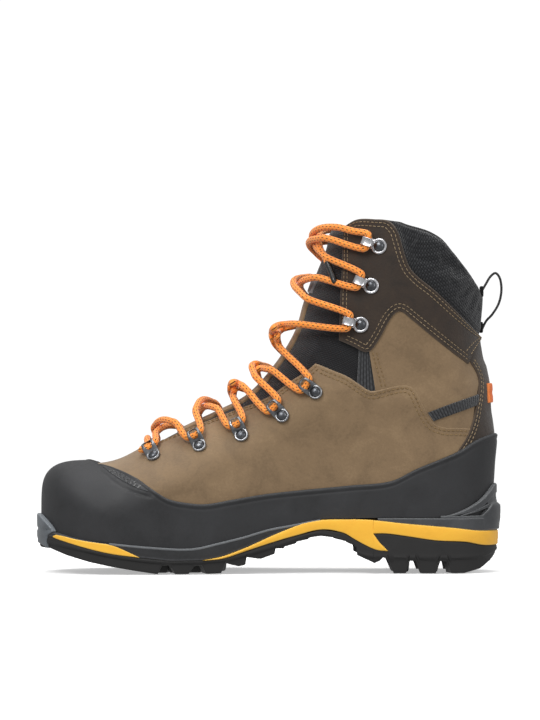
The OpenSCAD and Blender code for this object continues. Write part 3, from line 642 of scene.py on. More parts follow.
@dataclass(frozen=True)
class Thread:
    """A row of lock stitches."""

    pitch: float = 3.3
    length: float = 2.7
    width: float = 0.95
    height: float = 0.55

    def sew(self, form: Form, centres: Array, along: Array, normal: Array) -> None:
        """Adds one small raised stitch at each centre.

        Args:
            form: where the stitches go.
            centres: n by 3.
            along: the row's direction at each.
            normal: the leather's normal at each.
        """
        along, normal = unit(along), unit(normal)
        across = np.cross(normal, along)
        stations = np.array([-0.5, -0.36, 0.0, 0.36, 0.5])
        width = np.array([0.15, 0.8, 1.0, 0.8, 0.15])
        turn = np.linspace(0, 2 * math.pi, 6, endpoint=False)
        for c, t, n, b in zip(centres, along, normal, across):
            ring = (c + self.length * stations[:, None, None] * t
                    + 0.5 * self.width * (width[:, None, None] * np.cos(turn)[None, :, None]) * b
                    + self.height * (width[:, None, None] * np.sin(turn)[None, :, None]) * n)
            form.grid(ring, around=True, caps=True)

    def row(self, form: Form, line: Array, inset: float, lift: float,
            sides: tuple[int, ...] = (-1, 1), span: tuple[float, float] = (0.0, 1.0)) -> None:
        """Sews along a border line, moved in by a distance on the surface.

        Args:
            form: where the stitches go.
            line: side-view points of the border.
            inset: distance to the left of the line's direction, in mm.
            lift: offset of the leather's face.
            sides: which sides are sewn.
            span: the part of the line that is sewn.
        """
        t = unit(np.gradient(line, axis=0))
        n = np.stack([-t[:, 1], t[:, 0]], -1)
        a, _ = LAST.skin(line, 1, 0, swell=False)
        b, _ = LAST.skin(line + 0.5 * np.sign(inset) * n, 1, 0, swell=False)
        stretch = np.maximum(1.0, np.linalg.norm(b - a, axis=-1) / 0.5)
        moved = line + n * (inset / stretch)[:, None]
        for s in sides:
            solid, normal = LAST.skin(moved, s, lift)
            far = lengths(solid)
            places = np.arange(span[0] * far[-1] + self.pitch, span[1] * far[-1] - self.pitch / 2, self.pitch)
            run = np.gradient(solid, axis=0)
            rows = [np.stack([np.interp(places, far, c) for c in q.T], -1) for q in (solid, run, normal)]
            self.sew(form, *rows)


def slab(form: Form, top: Array, bottom: Array, uv: Optional[Array] = None,
         edge: Union[float, Array] = 9.0) -> None:
    """Adds a closed slab between two grids of the same size.

    Args:
        form: where it goes.
        top: n by m by 3.
        bottom: n by m by 3.
        uv: n by m by 2.
        edge: n by m distances from the slab's edge, or one value.
    """
    n, m = top.shape[:2]
    k = n * m
    faces = quads(n, m, m - 1) + quads(n, m, m - 1, k)
    ring = ([(0, j) for j in range(m - 1)] + [(i, m - 1) for i in range(n - 1)]
            + [(n - 1, j) for j in range(m - 1, 0, -1)] + [(i, 0) for i in range(n - 1, 0, -1)])
    walk = [i * m + j for i, j in ring]
    faces += [(a, b, k + b, k + a) for a, b in zip(walk, walk[1:] + walk[:1])]
    both = None if uv is None else np.concatenate([uv.reshape(-1, 2)] * 2)
    far = edge if np.isscalar(edge) else np.concatenate([np.asarray(edge).ravel()] * 2)
    form.add(np.concatenate([top.reshape(-1, 3), bottom.reshape(-1, 3)]), faces, both, far)


def rolled(far: Array, radius: float) -> Array:
    """How far an edge has rolled down at a distance from it."""
    fall = 1 - np.minimum(far / radius, 1)
    return -radius * (1 - np.sqrt(np.maximum(0, 1 - fall**2)))


def revolve(form: Form, put: Callable[[Array], Array], profile: Knots, count: int = 28) -> None:
    """Adds a turned shape from (radius, height) pairs that start and end on the axis."""
    turn = np.linspace(0, 2 * math.pi, count, endpoint=False)
    rings = np.array([[(r * math.cos(a), r * math.sin(a), z) for a in turn] for r, z in profile])
    form.grid(put(rings), around=True, edge=np.array([[abs(p[0] - profile[1][0])] * count for p in profile]))


def block(form: Form, put: Callable[[Array], Array], size: tuple[float, float, float], corner: float,
          bevel: float = 0.4) -> None:
    """Adds a block with round corners and softened edges.

    Args:
        form: where it goes.
        put: places local points.
        size: width, length and height; it stands on local z = 0.
        corner: corner radius in plan.
        bevel: radius of the softened edges.
    """
    w, d, h = size
    turn = np.linspace(0, 2 * math.pi, 32, endpoint=False)
    c, s = np.cos(turn), np.sin(turn)
    rings = []
    for inset, z in ((bevel, 0), (0.3 * bevel, 0.3 * bevel), (0, bevel), (0, h - bevel),
                     (0.3 * bevel, h - 0.3 * bevel), (bevel, h)):
        r = max(corner - inset, 0.05)
        rings.append(np.stack([np.sign(c) * (w / 2 - corner) + r * c, np.sign(s) * (d / 2 - corner) + r * s,
                               np.full_like(c, z)], -1))
    form.grid(put(np.array(rings)), around=True, caps=True)


@dataclass(frozen=True)
class Spot:
    """Local axes on the leather: y up the throat, z out of the leather."""

    origin: Array
    x: Array
    y: Array
    z: Array
    side: int

    @staticmethod
    def at(p: Array, side: int, lift: float, up: Array) -> "Spot":
        """The spot over a side-view point, with up as its rough y."""
        o, n = LAST.skin(np.asarray(p, float)[None], side, lift)
        x = unit(np.cross(np.array([up[0], 0, up[1]]), n[0]))
        return Spot(o[0], x, np.cross(n[0], x), n[0], side)

    def put(self, local: Array) -> Array:
        """Local points in the frame, in mm."""
        local = np.asarray(local, float)
        return self.origin + local[..., :1] * self.x + local[..., 1:2] * self.y + local[..., 2:3] * self.z


# ---------------------------------------------------------------- finishes

Socket = bpy.types.NodeSocket
Value = Union[float, Sequence[float], Socket]


class Graph:
    """Short calls for building a shader tree."""

    def __init__(self, tree: bpy.types.NodeTree) -> None:
        """Starts on a tree."""
        self.tree = tree

    def add(self, kind: str, inputs: Optional[dict[Union[str, int], Value]] = None,
            **settings: object) -> bpy.types.Node:
        """Adds a node.

        Args:
            kind: the node's type, without its prefix.
            inputs: values or sockets, by input name or number.
            **settings: the node's own properties.

        Returns:
            The node.
        """
        node = self.tree.nodes.new("ShaderNode" + kind)
        for key, value in settings.items():
            setattr(node, key, value)
        for key, value in (inputs or {}).items():
            self.feed(node.inputs[key], value)
        return node

    def feed(self, socket: Socket, value: Value) -> None:
        """Links a socket, or sets its value."""
        if isinstance(value, Socket):
            self.tree.links.new(value, socket)
        elif isinstance(socket.default_value, float) or isinstance(value, (int, float)):
            socket.default_value = value
        else:
            size = len(socket.default_value)
            socket.default_value = (*value, 1.0)[:size]

    def math(self, operation: str, a: Value, b: Value = 0.0, clamp: bool = False) -> Socket:
        """The result of one Math node."""
        return self.add("Math", {0: a, 1: b}, operation=operation, use_clamp=clamp).outputs[0]

    def mix(self, share: Value, a: Value, b: Value, blend: str = "MIX") -> Socket:
        """A mix of two colours."""
        node = self.add("Mix", {0: share, 6: a, 7: b}, data_type="RGBA", blend_type=blend)
        return node.outputs[2]

    def span(self, value: Value, low: float, high: float, out_low: float = 0.0,
             out_high: float = 1.0) -> Socket:
        """A value stretched from one range to another, clamped, with soft ends."""
        return self.add("MapRange", {0: value, 1: low, 2: high, 3: out_low, 4: out_high},
                        interpolation_type="SMOOTHSTEP").outputs[0]

    def noise(self, vector: Value, scale: Value, detail: float = 3.0, rough: float = 0.55,
              distortion: float = 0.0) -> Socket:
        """Noise from 0 to 1."""
        return self.add("TexNoise", {"Vector": vector, "Scale": scale, "Detail": detail, "Roughness": rough,
                                     "Distortion": distortion}).outputs["Fac"]

    def cells(self, vector: Value, scale: Value, feature: str = "F1") -> Socket:
        """Distance in a field of cells."""
        return self.add("TexVoronoi", {"Vector": vector, "Scale": scale}, feature=feature).outputs["Distance"]


def new_group(name: str, inputs: dict[str, tuple[str, Value]], outputs: dict[str, str]
              ) -> tuple[bpy.types.NodeTree, Graph, bpy.types.Node, bpy.types.Node]:
    """Starts a shared shader group.

    Args:
        name: its name.
        inputs: socket type and value by name.
        outputs: socket type by name.

    Returns:
        The group, its graph, its input node and its output node.
    """
    tree = bpy.data.node_groups.new(name, "ShaderNodeTree")
    for key, (kind, value) in inputs.items():
        socket = tree.interface.new_socket(name=key, in_out="INPUT", socket_type="NodeSocket" + kind)
        if kind != "Vector":
            socket.default_value = value if kind == "Float" else (*value, 1.0)
    for key, kind in outputs.items():
        tree.interface.new_socket(name=key, in_out="OUTPUT", socket_type="NodeSocket" + kind)
    graph = Graph(tree)
    return tree, graph, tree.nodes.new("NodeGroupInput"), tree.nodes.new("NodeGroupOutput")


def mottle_group() -> bpy.types.NodeTree:
    """Colour that drifts between a dark, a middle and a light tone."""
    tree, g, i, o = new_group(
        "mottle", {"Place": ("Vector", 0), "Scale": ("Float", 60.0), "Dark": ("Color", (0, 0, 0)),
                   "Middle": ("Color", (0.5, 0.5, 0.5)), "Light": ("Color", (1, 1, 1)),
                   "Amount": ("Float", 1.0)},
        {"Colour": "Color", "Mask": "Float"})
    big = g.noise(i.outputs["Place"], i.outputs["Scale"], 4.0, 0.6, 0.6)
    fine = g.noise(i.outputs["Place"], g.math("MULTIPLY", i.outputs["Scale"], 14.0), 4.0, 0.7)
    both = g.math("ADD", g.math("MULTIPLY", big, 0.68), g.math("MULTIPLY", fine, 0.32))
    dark = g.math("MULTIPLY", g.span(both, 0.52, 0.36), i.outputs["Amount"])
    light = g.math("MULTIPLY", g.span(both, 0.50, 0.66), i.outputs["Amount"])
    colour = g.mix(light, g.mix(dark, i.outputs["Middle"], i.outputs["Dark"]), i.outputs["Light"])
    g.feed(o.inputs["Colour"], colour)
    g.feed(o.inputs["Mask"], both)
    return tree


def grain_group() -> bpy.types.NodeTree:
    """Leather grain: pores, soft pebbles and creases."""
    tree, g, i, o = new_group("grain", {"Place": ("Vector", 0), "Scale": ("Float", 900.0)},
                              {"Height": "Float"})
    pores = g.cells(i.outputs["Place"], i.outputs["Scale"])
    nap = g.noise(i.outputs["Place"], g.math("MULTIPLY", i.outputs["Scale"], 2.2), 3.0, 0.6)
    swell = g.noise(i.outputs["Place"], g.math("MULTIPLY", i.outputs["Scale"], 0.16), 3.0, 0.55, 0.8)
    height = g.math("ADD", g.math("MULTIPLY", pores, 0.3), g.math("MULTIPLY", nap, 0.3))
    g.feed(o.inputs["Height"], g.math("ADD", height, g.math("MULTIPLY", swell, 0.9)))
    return tree


def edge_highlight_group() -> bpy.types.NodeTree:
    """A painted highlight: how close to an edge the colour is painted paler, along rounded and rolled edges.
    """
    tree, g, i, o = new_group(
        "painted_edge_highlight", {"Edge": ("Float", 9.0), "Place": ("Vector", 0), "Reach": ("Float", 1.5)},
        {"Mask": "Float"})
    # mask of the painted edge highlight, 1 at the edge, made ragged by noise
    ragged = g.math("MULTIPLY", g.noise(i.outputs["Place"], 420.0, 4.0, 0.7), 1.5)
    reach = g.math("MULTIPLY", i.outputs["Reach"], ragged)
    g.feed(o.inputs["Mask"], g.math("SUBTRACT", 1.0, g.math("DIVIDE", i.outputs["Edge"], reach), clamp=True))
    return tree


def weave_group() -> bpy.types.NodeTree:
    """A plain weave of crossing yarns, from map places in metres."""
    tree, g, i, o = new_group("weave", {"Map": ("Vector", 0), "Pitch": ("Float", 0.0015),
                                        "Ribs": ("Float", 0.0), "Along": ("Float", 0.0)},
                              {"Height": "Float", "Yarn": "Float"})
    parts = g.add("SeparateXYZ", {0: i.outputs["Map"]})
    turns = [g.math("MULTIPLY", g.math("DIVIDE", parts.outputs[k], i.outputs["Pitch"]), math.pi)
             for k in (0, 1)]
    warp, weft = (g.math("SINE", t) for t in turns)
    grid = g.math("MULTIPLY", warp, weft)
    square = g.math("POWER", g.math("ABSOLUTE", grid), 0.6)
    across = g.math("MULTIPLY", g.math("ABSOLUTE", weft), g.math("SUBTRACT", 1.0, i.outputs["Along"]))
    onward = g.math("MULTIPLY", g.math("ABSOLUTE", warp), i.outputs["Along"])
    rib = g.math("POWER", g.math("ADD", across, onward), 0.7)
    ribs = i.outputs["Ribs"]
    height = g.math("ADD", g.math("MULTIPLY", square, g.math("SUBTRACT", 1.0, ribs)),
                    g.math("MULTIPLY", rib, ribs))
    g.feed(o.inputs["Height"], height)
    g.feed(o.inputs["Yarn"], g.span(grid, -0.2, 0.2))
    return tree


def braid_group() -> bpy.types.NodeTree:
    """A round braid: crossing bundles, with one dark fleck in each diamond."""
    tree, g, i, o = new_group("braid", {"Map": ("Vector", 0), "Pitch": ("Float", 0.0036),
                                        "Round": ("Float", 4.0)},
                              {"Height": "Float", "Fleck": "Float", "Bundle": "Float"})
    parts = g.add("SeparateXYZ", {0: i.outputs["Map"]})
    u = g.math("MULTIPLY", parts.outputs[0], i.outputs["Round"])
    v = g.math("DIVIDE", parts.outputs[1], i.outputs["Pitch"])
    p, q = g.math("ADD", u, v), g.math("SUBTRACT", u, v)
    wave = [g.math("SINE", g.math("MULTIPLY", t, 2 * math.pi)) for t in (p, q)]
    off = [g.math("SUBTRACT", g.math("FRACT", t), 0.5) for t in (p, q)]
    around = g.math("POWER", g.math("MULTIPLY", g.math("ADD", off[0], off[1]), 4.4), 2.0)
    onward = g.math("POWER", g.math("MULTIPLY", g.math("SUBTRACT", off[0], off[1]), 2.7), 2.0)
    g.feed(o.inputs["Fleck"], g.span(g.math("ADD", around, onward), 1.15, 0.75))
    bundle = g.math("MULTIPLY", wave[0], wave[1])
    g.feed(o.inputs["Bundle"], g.span(bundle, -0.3, 0.5))
    ridge = [g.math("ABSOLUTE", w) for w in wave]
    g.feed(o.inputs["Height"], g.math("MAXIMUM", ridge[0], ridge[1]))
    return tree


GROUPS = {"mottle": mottle_group(), "grain": grain_group(), "edge_shine": edge_highlight_group(), "weave": weave_group(),
          "braid": braid_group()}


class Paint(Graph):
    """A material's own tree, with its shader and its common inputs."""

    def __init__(self, name: str) -> None:
        """Starts a material with a bare Principled shader."""
        self.material = bpy.data.materials.new(name)
        self.material.use_nodes = True
        super().__init__(self.material.node_tree)
        self.shader = self.tree.nodes["Principled BSDF"]
        self.place = self.add("TexCoord").outputs["Object"]
        self.map = self.add("UVMap", uv_map="cut").outputs[0]
        self.edge = self.add("Attribute", attribute_name="edge").outputs["Fac"]

    def group(self, name: str, **inputs: Value) -> bpy.types.Node:
        """Places a shared group, with this material's values."""
        node = self.tree.nodes.new("ShaderNodeGroup")
        node.node_tree = GROUPS[name]
        for key, value in inputs.items():
            self.feed(node.inputs[key], value)
        return node

    def set(self, **values: Value) -> None:
        """Sets or links the shader's sockets; a name's underscore is a space."""
        for key, value in values.items():
            self.feed(self.shader.inputs[key.replace("_", " ")], value)

    def bump(self, height: Socket, distance: float, strength: float = 1.0) -> None:
        """Raises the surface by a height, in metres at strength 1."""
        node = self.add("Bump", {"Height": height, "Distance": distance, "Strength": strength})
        self.set(Normal=node.outputs[0])


@dataclass(frozen=True)
class Leather:
    """Waxed or brushed leather, with a painted highlight along its edges."""

    name: str
    dark: Colour
    middle: Colour
    light: Colour
    # colour of the painted highlight along the edges
    highlight_colour: Colour
    rough: float = 0.7
    sheen: float = 0.25
    patch: float = 55.0
    relief: float = 0.00035
    reach: float = 1.6

    def material(self) -> bpy.types.Material:
        """Builds the material."""
        p = Paint(self.name)
        tone = p.group("mottle", Place=p.place, Scale=self.patch, Dark=self.dark, Middle=self.middle,
                       Light=self.light)
        edge_shine = p.group("edge_shine", Edge=p.edge, Place=p.place, Reach=self.reach)
        # paler edges: a painted highlight mixed over the mottled tone
        colour = p.mix(p.math("MULTIPLY", edge_shine.outputs[0], 0.8), tone.outputs["Colour"], self.highlight_colour)
        rough = p.span(tone.outputs["Mask"], 0.35, 0.7, self.rough - 0.1, self.rough + 0.12)
        p.set(Base_Color=colour, Roughness=rough, Sheen_Weight=self.sheen, Sheen_Roughness=0.5,
              Specular_IOR_Level=0.35)
        p.bump(p.group("grain", Place=p.place, Scale=850.0).outputs[0], self.relief)
        return p.material


@dataclass(frozen=True)
class Rubber:
    """Moulded rubber, foam or plastic with a fine skin, and a painted highlight along its edges."""

    name: str
    middle: Colour
    # colour of the painted highlight along the edges
    highlight_colour: Colour
    rough: float = 0.6
    level: float = 0.4
    grit: float = 1800.0
    relief: float = 0.00008
    reach: float = 1.8
    drift: float = 0.25

    def material(self) -> bpy.types.Material:
        """Builds the material."""
        p = Paint(self.name)
        dark = tuple(c * (1 - self.drift) for c in self.middle)
        light = tuple(min(1.0, c * (1 + self.drift)) for c in self.middle)
        tone = p.group("mottle", Place=p.place, Scale=38.0, Dark=dark, Middle=self.middle, Light=light)
        edge_shine = p.group("edge_shine", Edge=p.edge, Place=p.place, Reach=self.reach)
        # lighter edges: a painted highlight mixed over the drifting tone
        colour = p.mix(p.math("MULTIPLY", edge_shine.outputs[0], 0.85), tone.outputs["Colour"], self.highlight_colour)
        rough = p.span(tone.outputs["Mask"], 0.35, 0.65, self.rough - 0.08, self.rough + 0.08)
        p.set(Base_Color=colour, Roughness=rough, Specular_IOR_Level=self.level)
        fine = p.noise(p.place, self.grit, 3.0, 0.6)
        slow = p.noise(p.place, 60.0, 2.0, 0.5)
        p.bump(p.math("ADD", fine, p.math("MULTIPLY", slow, 4.0)), self.relief)
        return p.material


@dataclass(frozen=True)
class Cloth:
    """Woven or ribbed cloth, with yarns that catch the light."""

    name: str
    deep: Colour
    yarn: Colour
    other: Colour
    pitch: float = 0.0015
    ribs: float = 0.0
    sheen: float = 0.3
    relief: float = 0.00035
    rough: float = 0.85
    along: float = 0.0

    def material(self) -> bpy.types.Material:
        """Builds the material."""
        p = Paint(self.name)
        weave = p.group("weave", Map=p.map, Pitch=self.pitch, Ribs=self.ribs, Along=self.along)
        raised = p.mix(weave.outputs["Yarn"], self.yarn, self.other)
        colour = p.mix(p.span(weave.outputs["Height"], 0.25, 0.75), self.deep, raised)
        fibre = p.noise(p.place, 2600.0, 3.0, 0.7)
        colour = p.mix(p.span(fibre, 0.45, 0.75, 0.0, 0.35), colour, self.other)
        rough = p.span(weave.outputs["Height"], 0, 1, self.rough + 0.1, self.rough - 0.1)
        p.set(Base_Color=colour, Roughness=rough,
              Sheen_Weight=self.sheen, Sheen_Roughness=0.4, Specular_IOR_Level=0.3)
        p.bump(p.math("ADD", weave.outputs["Height"], p.math("MULTIPLY", fibre, 0.25)), self.relief)
        return p.material


@dataclass(frozen=True)
class Metal:
    """Pressed and tumbled metal with bright, rubbed high spots."""

    name: str
    middle: Colour
    bright: Colour
    rough: float = 0.3

    def material(self) -> bpy.types.Material:
        """Builds the material."""
        p = Paint(self.name)
        tone = p.group("mottle", Place=p.place, Scale=300.0, Dark=tuple(c * 0.6 for c in self.middle),
                       Middle=self.middle, Light=self.bright)
        rough = p.span(tone.outputs["Mask"], 0.3, 0.7, self.rough + 0.12, self.rough - 0.08)
        p.set(Base_Color=tone.outputs["Colour"], Metallic=1.0, Roughness=rough)
        p.bump(p.noise(p.place, 2200.0, 2.0, 0.6), 0.00004)
        return p.material


@dataclass(frozen=True)
class Braid:
    """The round lace."""

    name: str
    middle: Colour
    light: Colour
    fleck: Colour

    def material(self) -> bpy.types.Material:
        """Builds the material."""
        p = Paint(self.name)
        braid = p.group("braid", Map=p.map)
        colour = p.mix(p.math("MULTIPLY", braid.outputs["Bundle"], 0.75), self.middle, self.light)
        shade = p.span(p.noise(p.place, 90.0, 3.0), 0.35, 0.7, 0.0, 0.35)
        colour = p.mix(shade, colour, self.middle)
        colour = p.mix(braid.outputs["Fleck"], colour, self.fleck)
        fibre = p.noise(p.place, 3000.0, 2.0, 0.7)
        p.set(Base_Color=colour, Roughness=p.span(fibre, 0.3, 0.7, 0.6, 0.85), Sheen_Weight=0.3,
              Specular_IOR_Level=0.3)
        p.bump(p.math("ADD", braid.outputs["Height"], p.math("MULTIPLY", fibre, 0.3)), 0.00028)
        return p.material


@dataclass(frozen=True)
class Twist:
    """Sewing thread: two plies, lighter on top."""

    name: str
    middle: Colour
    light: Colour

    def material(self) -> bpy.types.Material:
        """Builds the material."""
        p = Paint(self.name)
        ply = p.noise(p.place, 1400.0, 2.0, 0.7)
        p.set(Base_Color=p.mix(p.span(ply, 0.35, 0.65), self.middle, self.light),
              Roughness=p.span(ply, 0, 1, 0.5, 0.8),
              Specular_IOR_Level=0.3)
        p.bump(ply, 0.0002)
        return p.material


# The fifth colour of each leather and the second colour of each rubber is its painted edge highlight.
NUBUCK = Leather("nubuck_tan", (0.185, 0.120, 0.062), (0.230, 0.151, 0.080), (0.275, 0.185, 0.101),
                 (0.36, 0.25, 0.145), patch=42.0, relief=0.0002).material()
BROWN = Leather("leather_brown", (0.022, 0.0145, 0.0098), (0.034, 0.0225, 0.0155), (0.048, 0.033, 0.023),
                (0.105, 0.072, 0.047), rough=0.78, patch=80.0).material()
STRIP = Leather("strip_leather", (0.15, 0.092, 0.045), (0.22, 0.14, 0.07), (0.30, 0.2, 0.105),
                (0.34, 0.23, 0.13)).material()
RAND = Rubber("rand_rubber", (0.023, 0.0235, 0.0255), (0.058, 0.06, 0.064), rough=0.58, level=0.45).material()
TREAD = Rubber("outsole_rubber", (0.019, 0.0185, 0.0185), (0.045, 0.044, 0.043), rough=0.66,
               reach=1.0).material()
MIDSOLE = Rubber("midsole_dark", (0.027, 0.0275, 0.0295), (0.075, 0.076, 0.08), rough=0.62).material()
WELT_GREY = Rubber("welt_grey", (0.10, 0.105, 0.115), (0.2, 0.21, 0.22), rough=0.6).material()
YELLOW = Rubber("foam_yellow", (1.0, 0.52, 0.045), (1.0, 0.62, 0.12), rough=0.52, drift=0.07, reach=1.1,
                relief=0.00006).material()
CLIP = Rubber("clip_grey", (0.058, 0.061, 0.066), (0.16, 0.165, 0.17), rough=0.45, reach=1.2).material()
BUMPER = Rubber("clip_toe", (0.115, 0.13, 0.145), (0.22, 0.24, 0.26), rough=0.42, reach=1.2).material()
ORANGE = Rubber("tab_orange", (0.88, 0.17, 0.02), (0.95, 0.3, 0.08), rough=0.5, drift=0.1).material()
LABEL = Rubber("label_grey", (0.16, 0.165, 0.175), (0.3, 0.3, 0.31), rough=0.5).material()
STIFF = Rubber("stiffener", (0.72, 0.68, 0.58), (0.8, 0.77, 0.7), rough=0.7, drift=0.1).material()
BOARD = Rubber("board_fibre", (0.46, 0.37, 0.25), (0.5, 0.42, 0.3), rough=0.85, drift=0.2, grit=900.0,
               relief=0.0002).material()
COLLAR = Cloth("collar_textile", (0.008, 0.008, 0.009), (0.040, 0.041, 0.044), (0.022, 0.023, 0.026),
               pitch=0.0016, relief=0.0005).material()
TONGUE = Cloth("tongue_fabric", (0.008, 0.008, 0.010), (0.024, 0.025, 0.029), (0.016, 0.017, 0.020),
               pitch=0.0011).material()
STRETCH = Cloth("stretch_black", (0.006, 0.006, 0.007), (0.018, 0.018, 0.020), (0.011, 0.011, 0.012),
                pitch=0.0012, ribs=0.6).material()
WEBBING = Cloth("webbing_grey", (0.012, 0.012, 0.013), (0.062, 0.064, 0.068), (0.045, 0.046, 0.049),
                pitch=0.0019, ribs=1.0, relief=0.0007, along=1.0).material()
BLACK_TAPE = Cloth("loop_webbing", (0.006, 0.006, 0.006), (0.020, 0.020, 0.021), (0.012, 0.012, 0.013),
                   pitch=0.0013, ribs=0.5).material()
LINING = Cloth("lining_fabric", (0.014, 0.014, 0.016), (0.045, 0.046, 0.050), (0.03, 0.031, 0.034),
               pitch=0.0019).material()
FELT = Cloth("footbed_foam", (0.30, 0.07, 0.015), (0.55, 0.14, 0.03), (0.42, 0.11, 0.03),
             pitch=0.002).material()
GUNMETAL = Metal("metal_dark", (0.19, 0.195, 0.205), (0.34, 0.345, 0.355), rough=0.34).material()
NICKEL = Metal("metal_bright", (0.58, 0.58, 0.60), (0.85, 0.85, 0.87), rough=0.24).material()
GUNMETAL_BRIGHT = Metal("metal_dome", (0.30, 0.305, 0.315), (0.55, 0.555, 0.57), rough=0.3).material()
DARK_DOME = Metal("dark_dome", (0.105, 0.11, 0.12), (0.2, 0.205, 0.21), rough=0.3).material()
STEEL = Metal("shank_steel", (0.5, 0.5, 0.52), (0.7, 0.7, 0.72), rough=0.35).material()
LACE = Braid("lace_orange", (1.0, 0.27, 0.028), (1.0, 0.46, 0.095), (0.06, 0.022, 0.01)).material()
TAN_THREAD = Twist("thread_tan", (0.17, 0.105, 0.045), (0.33, 0.22, 0.105)).material()
BEIGE_THREAD = Twist("thread_beige", (0.20, 0.14, 0.08), (0.42, 0.32, 0.2)).material()
AGLET = Rubber("aglet_black", (0.012, 0.012, 0.012), (0.03, 0.03, 0.03), rough=0.25, level=0.5).material()


# ---------------------------------------------------------------- sole

TREAD_LINE: Knots = (
    (-160, 16.2), (-145.3, 16.2), (-144, 15.8), (-133, 11.9), (-117.5, 7.9), (-101, 4.6), (-86, 2.0),
    (-72.5, 0),
    (-69.6, 5.6), (-64.8, 5.8), (-61.0, 0), (-52.4, 0), (-48.6, 5.2), (-43.8, 5.6), (-41.0, 0), (-31.2, 0.4),
    (-28.6, 7.2), (-20, 4.8), (-15.6, 5.6), (-15, 10.7), (-5.7, 9.4), (3.2, 12.6), (3.9, 16.2), (9.2, 16.2),
    (9.8, 17.4), (17, 19.4), (17.6, 20.5), (25, 22.2), (25.6, 23.2), (33, 24.3), (41, 23.4), (41.6, 22.8),
    (49, 21.0), (49.6, 20.4), (56.0, 17.6), (56.7, 11.8), (68, 6.6), (71.6, 8.2), (73.6, 10.4),
    (76.4, 9.2), (80.5, 0), (88.4, 0), (91.0, 8.2), (94.6, 8), (97.6, 0), (108, 0), (110.8, 8), (115.4, 7.8),
    (118.4, 0), (128, 0), (139, 2.6), (146, 7.5), (150.7, 12.9), (156, 16))
ROOT: Knots = ((-160, 22), (-130, 17), (-100, 11), (-70, 7.4), (-30, 8.4), (-14, 12.2), (4, 17.4), (33, 25.2),
               (50, 18.6), (58, 12.5), (70, 10.2), (120, 9.6), (140, 11), (156, 17))
INSERT_LOW: Knots = ((-141, 23.6), (-138.4, 22.5), (-118.4, 16.9), (-102.4, 13.3), (-84.4, 10.9))
INSERT_TOP: Knots = ((-141, 24.4), (-139, 25.2), (-118.4, 21.6), (-103.2, 19.2), (-94, 15.6), (-84.4, 10.9))
FOAM_TOP: Knots = ((-43.6, 8.9), (-30.8, 11.4), (-15, 17.2), (1.5, 24.6), (16.4, 30.6), (30, 35.0),
                   (52.8, 35.2), (69.2, 34.5), (87.6, 32.5), (119.6, 29.7), (135.6, 27.7), (151.5, 27.3))
FOAM_ARCH: Knots = ((-43.6, 8.9), (-30.8, 10), (-15, 15), (1.5, 20.3), (16.4, 24.6), (33.6, 28.6),
                    (47.6, 26.5), (55.6, 22), (63.6, 17.7), (70, 15.2), (76.8, 14.5))
FOAM_HEEL: Knots = ((67.2, 26), (75.6, 26), (87.6, 24.5), (107.6, 21.6), (127.6, 20.5), (139.6, 18.1),
                    (151.5, 17.7))
NOTCH: Knots = ((67.2, 26), (71, 20.5), (76.8, 14.6))
BLACK_TOP: Knots = (((-156, 24.4),) + INSERT_LOW + ((-64, 8.6),) + FOAM_ARCH[:-2]
                    + ((67.2, 16.2), (67.3, 26)) + FOAM_HEEL[1:])


def straight(knots: Knots) -> Callable[[Array], Array]:
    """A line of straight runs through knots, as a function of x."""
    px, py = np.asarray(knots, float).T
    return lambda x: np.interp(x, px, py)


def soft(knots: Knots) -> Callable[[Array], Array]:
    """A smooth line through knots, as a function of x."""
    return lambda x: curve(knots, x)


@dataclass
class Welt:
    """The sole's plan line, walked from the heel's middle round the inner side, the toe and back."""

    ledge: float = 4.5
    heel_x: float = 145.0
    step: float = 1.5

    def half(self, x: Array, out: float) -> Array:
        """Half the width of the plan line moved out."""
        n = np.maximum(0, np.maximum(1 - (x - LAST.toe_x + out) / LAST.toe_round,
                                     1 - (self.heel_x + out - x) / LAST.heel_round))
        return (curve(LAST.foot, x) + out) * np.sqrt(np.maximum(0, 1 - n * n))

    def line(self) -> Array:
        """The whole closed plan line, evenly spaced, in mm."""
        a, b = LAST.toe_x - self.ledge, self.heel_x + self.ledge
        x = b + (a - b) * (1 - np.cos(np.linspace(0, math.pi, 1500))) / 2
        bend, h = curve(LAST.bend, x), self.half(x, self.ledge)
        loop = np.concatenate([np.stack([x, bend - h], -1), np.stack([x, bend + h], -1)[::-1]])
        return resample(loop, 2400)

    def stretch(self, x0: float, x1: float, corners: Sequence[float] = ()) -> list[tuple[Array, Array]]:
        """The parts of the line with x between two values.

        Args:
            x0: lowest x; below the toe's, the part runs round the toe.
            x1: highest x; beyond the heel's, the part runs round the heel.
            corners: x values that get a close pair of points.

        Returns:
            Points and outward normals of each part.
        """
        p = self.line()
        t = unit(np.roll(p, -1, 0) - np.roll(p, 1, 0))
        n = np.stack([-t[:, 1], t[:, 0]], -1)
        n[(n * p).sum(-1) < 0] *= -1
        if x1 > self.heel_x + self.ledge:
            start = len(p) // 2
            p, n = np.roll(p, start, 0), np.roll(n, start, 0)
        inside = (p[:, 0] >= x0) & (p[:, 0] <= x1)
        cuts = np.flatnonzero(np.diff(inside.astype(int))) + 1
        parts = []
        for run in np.split(np.arange(len(p)), cuts):
            if not inside[run[0]] or len(run) < 3:
                continue
            q, m = p[run], n[run]
            along = lengths(q)
            places = set(np.linspace(0, along[-1], max(3, round(along[-1] / self.step))))
            for c in corners:
                for k in np.flatnonzero(np.diff(np.sign(q[:, 0] - c))):
                    places.add(float(np.interp(0.5, [0, 1], along[k:k + 2])))
            at = np.array(sorted(places))
            at = at[np.concatenate([[True], np.diff(at) > 0.06])]
            parts.append((at_lengths(q, at), unit(np.stack([np.interp(at, along, c) for c in m.T], -1))))
        return parts


WELT = Welt()


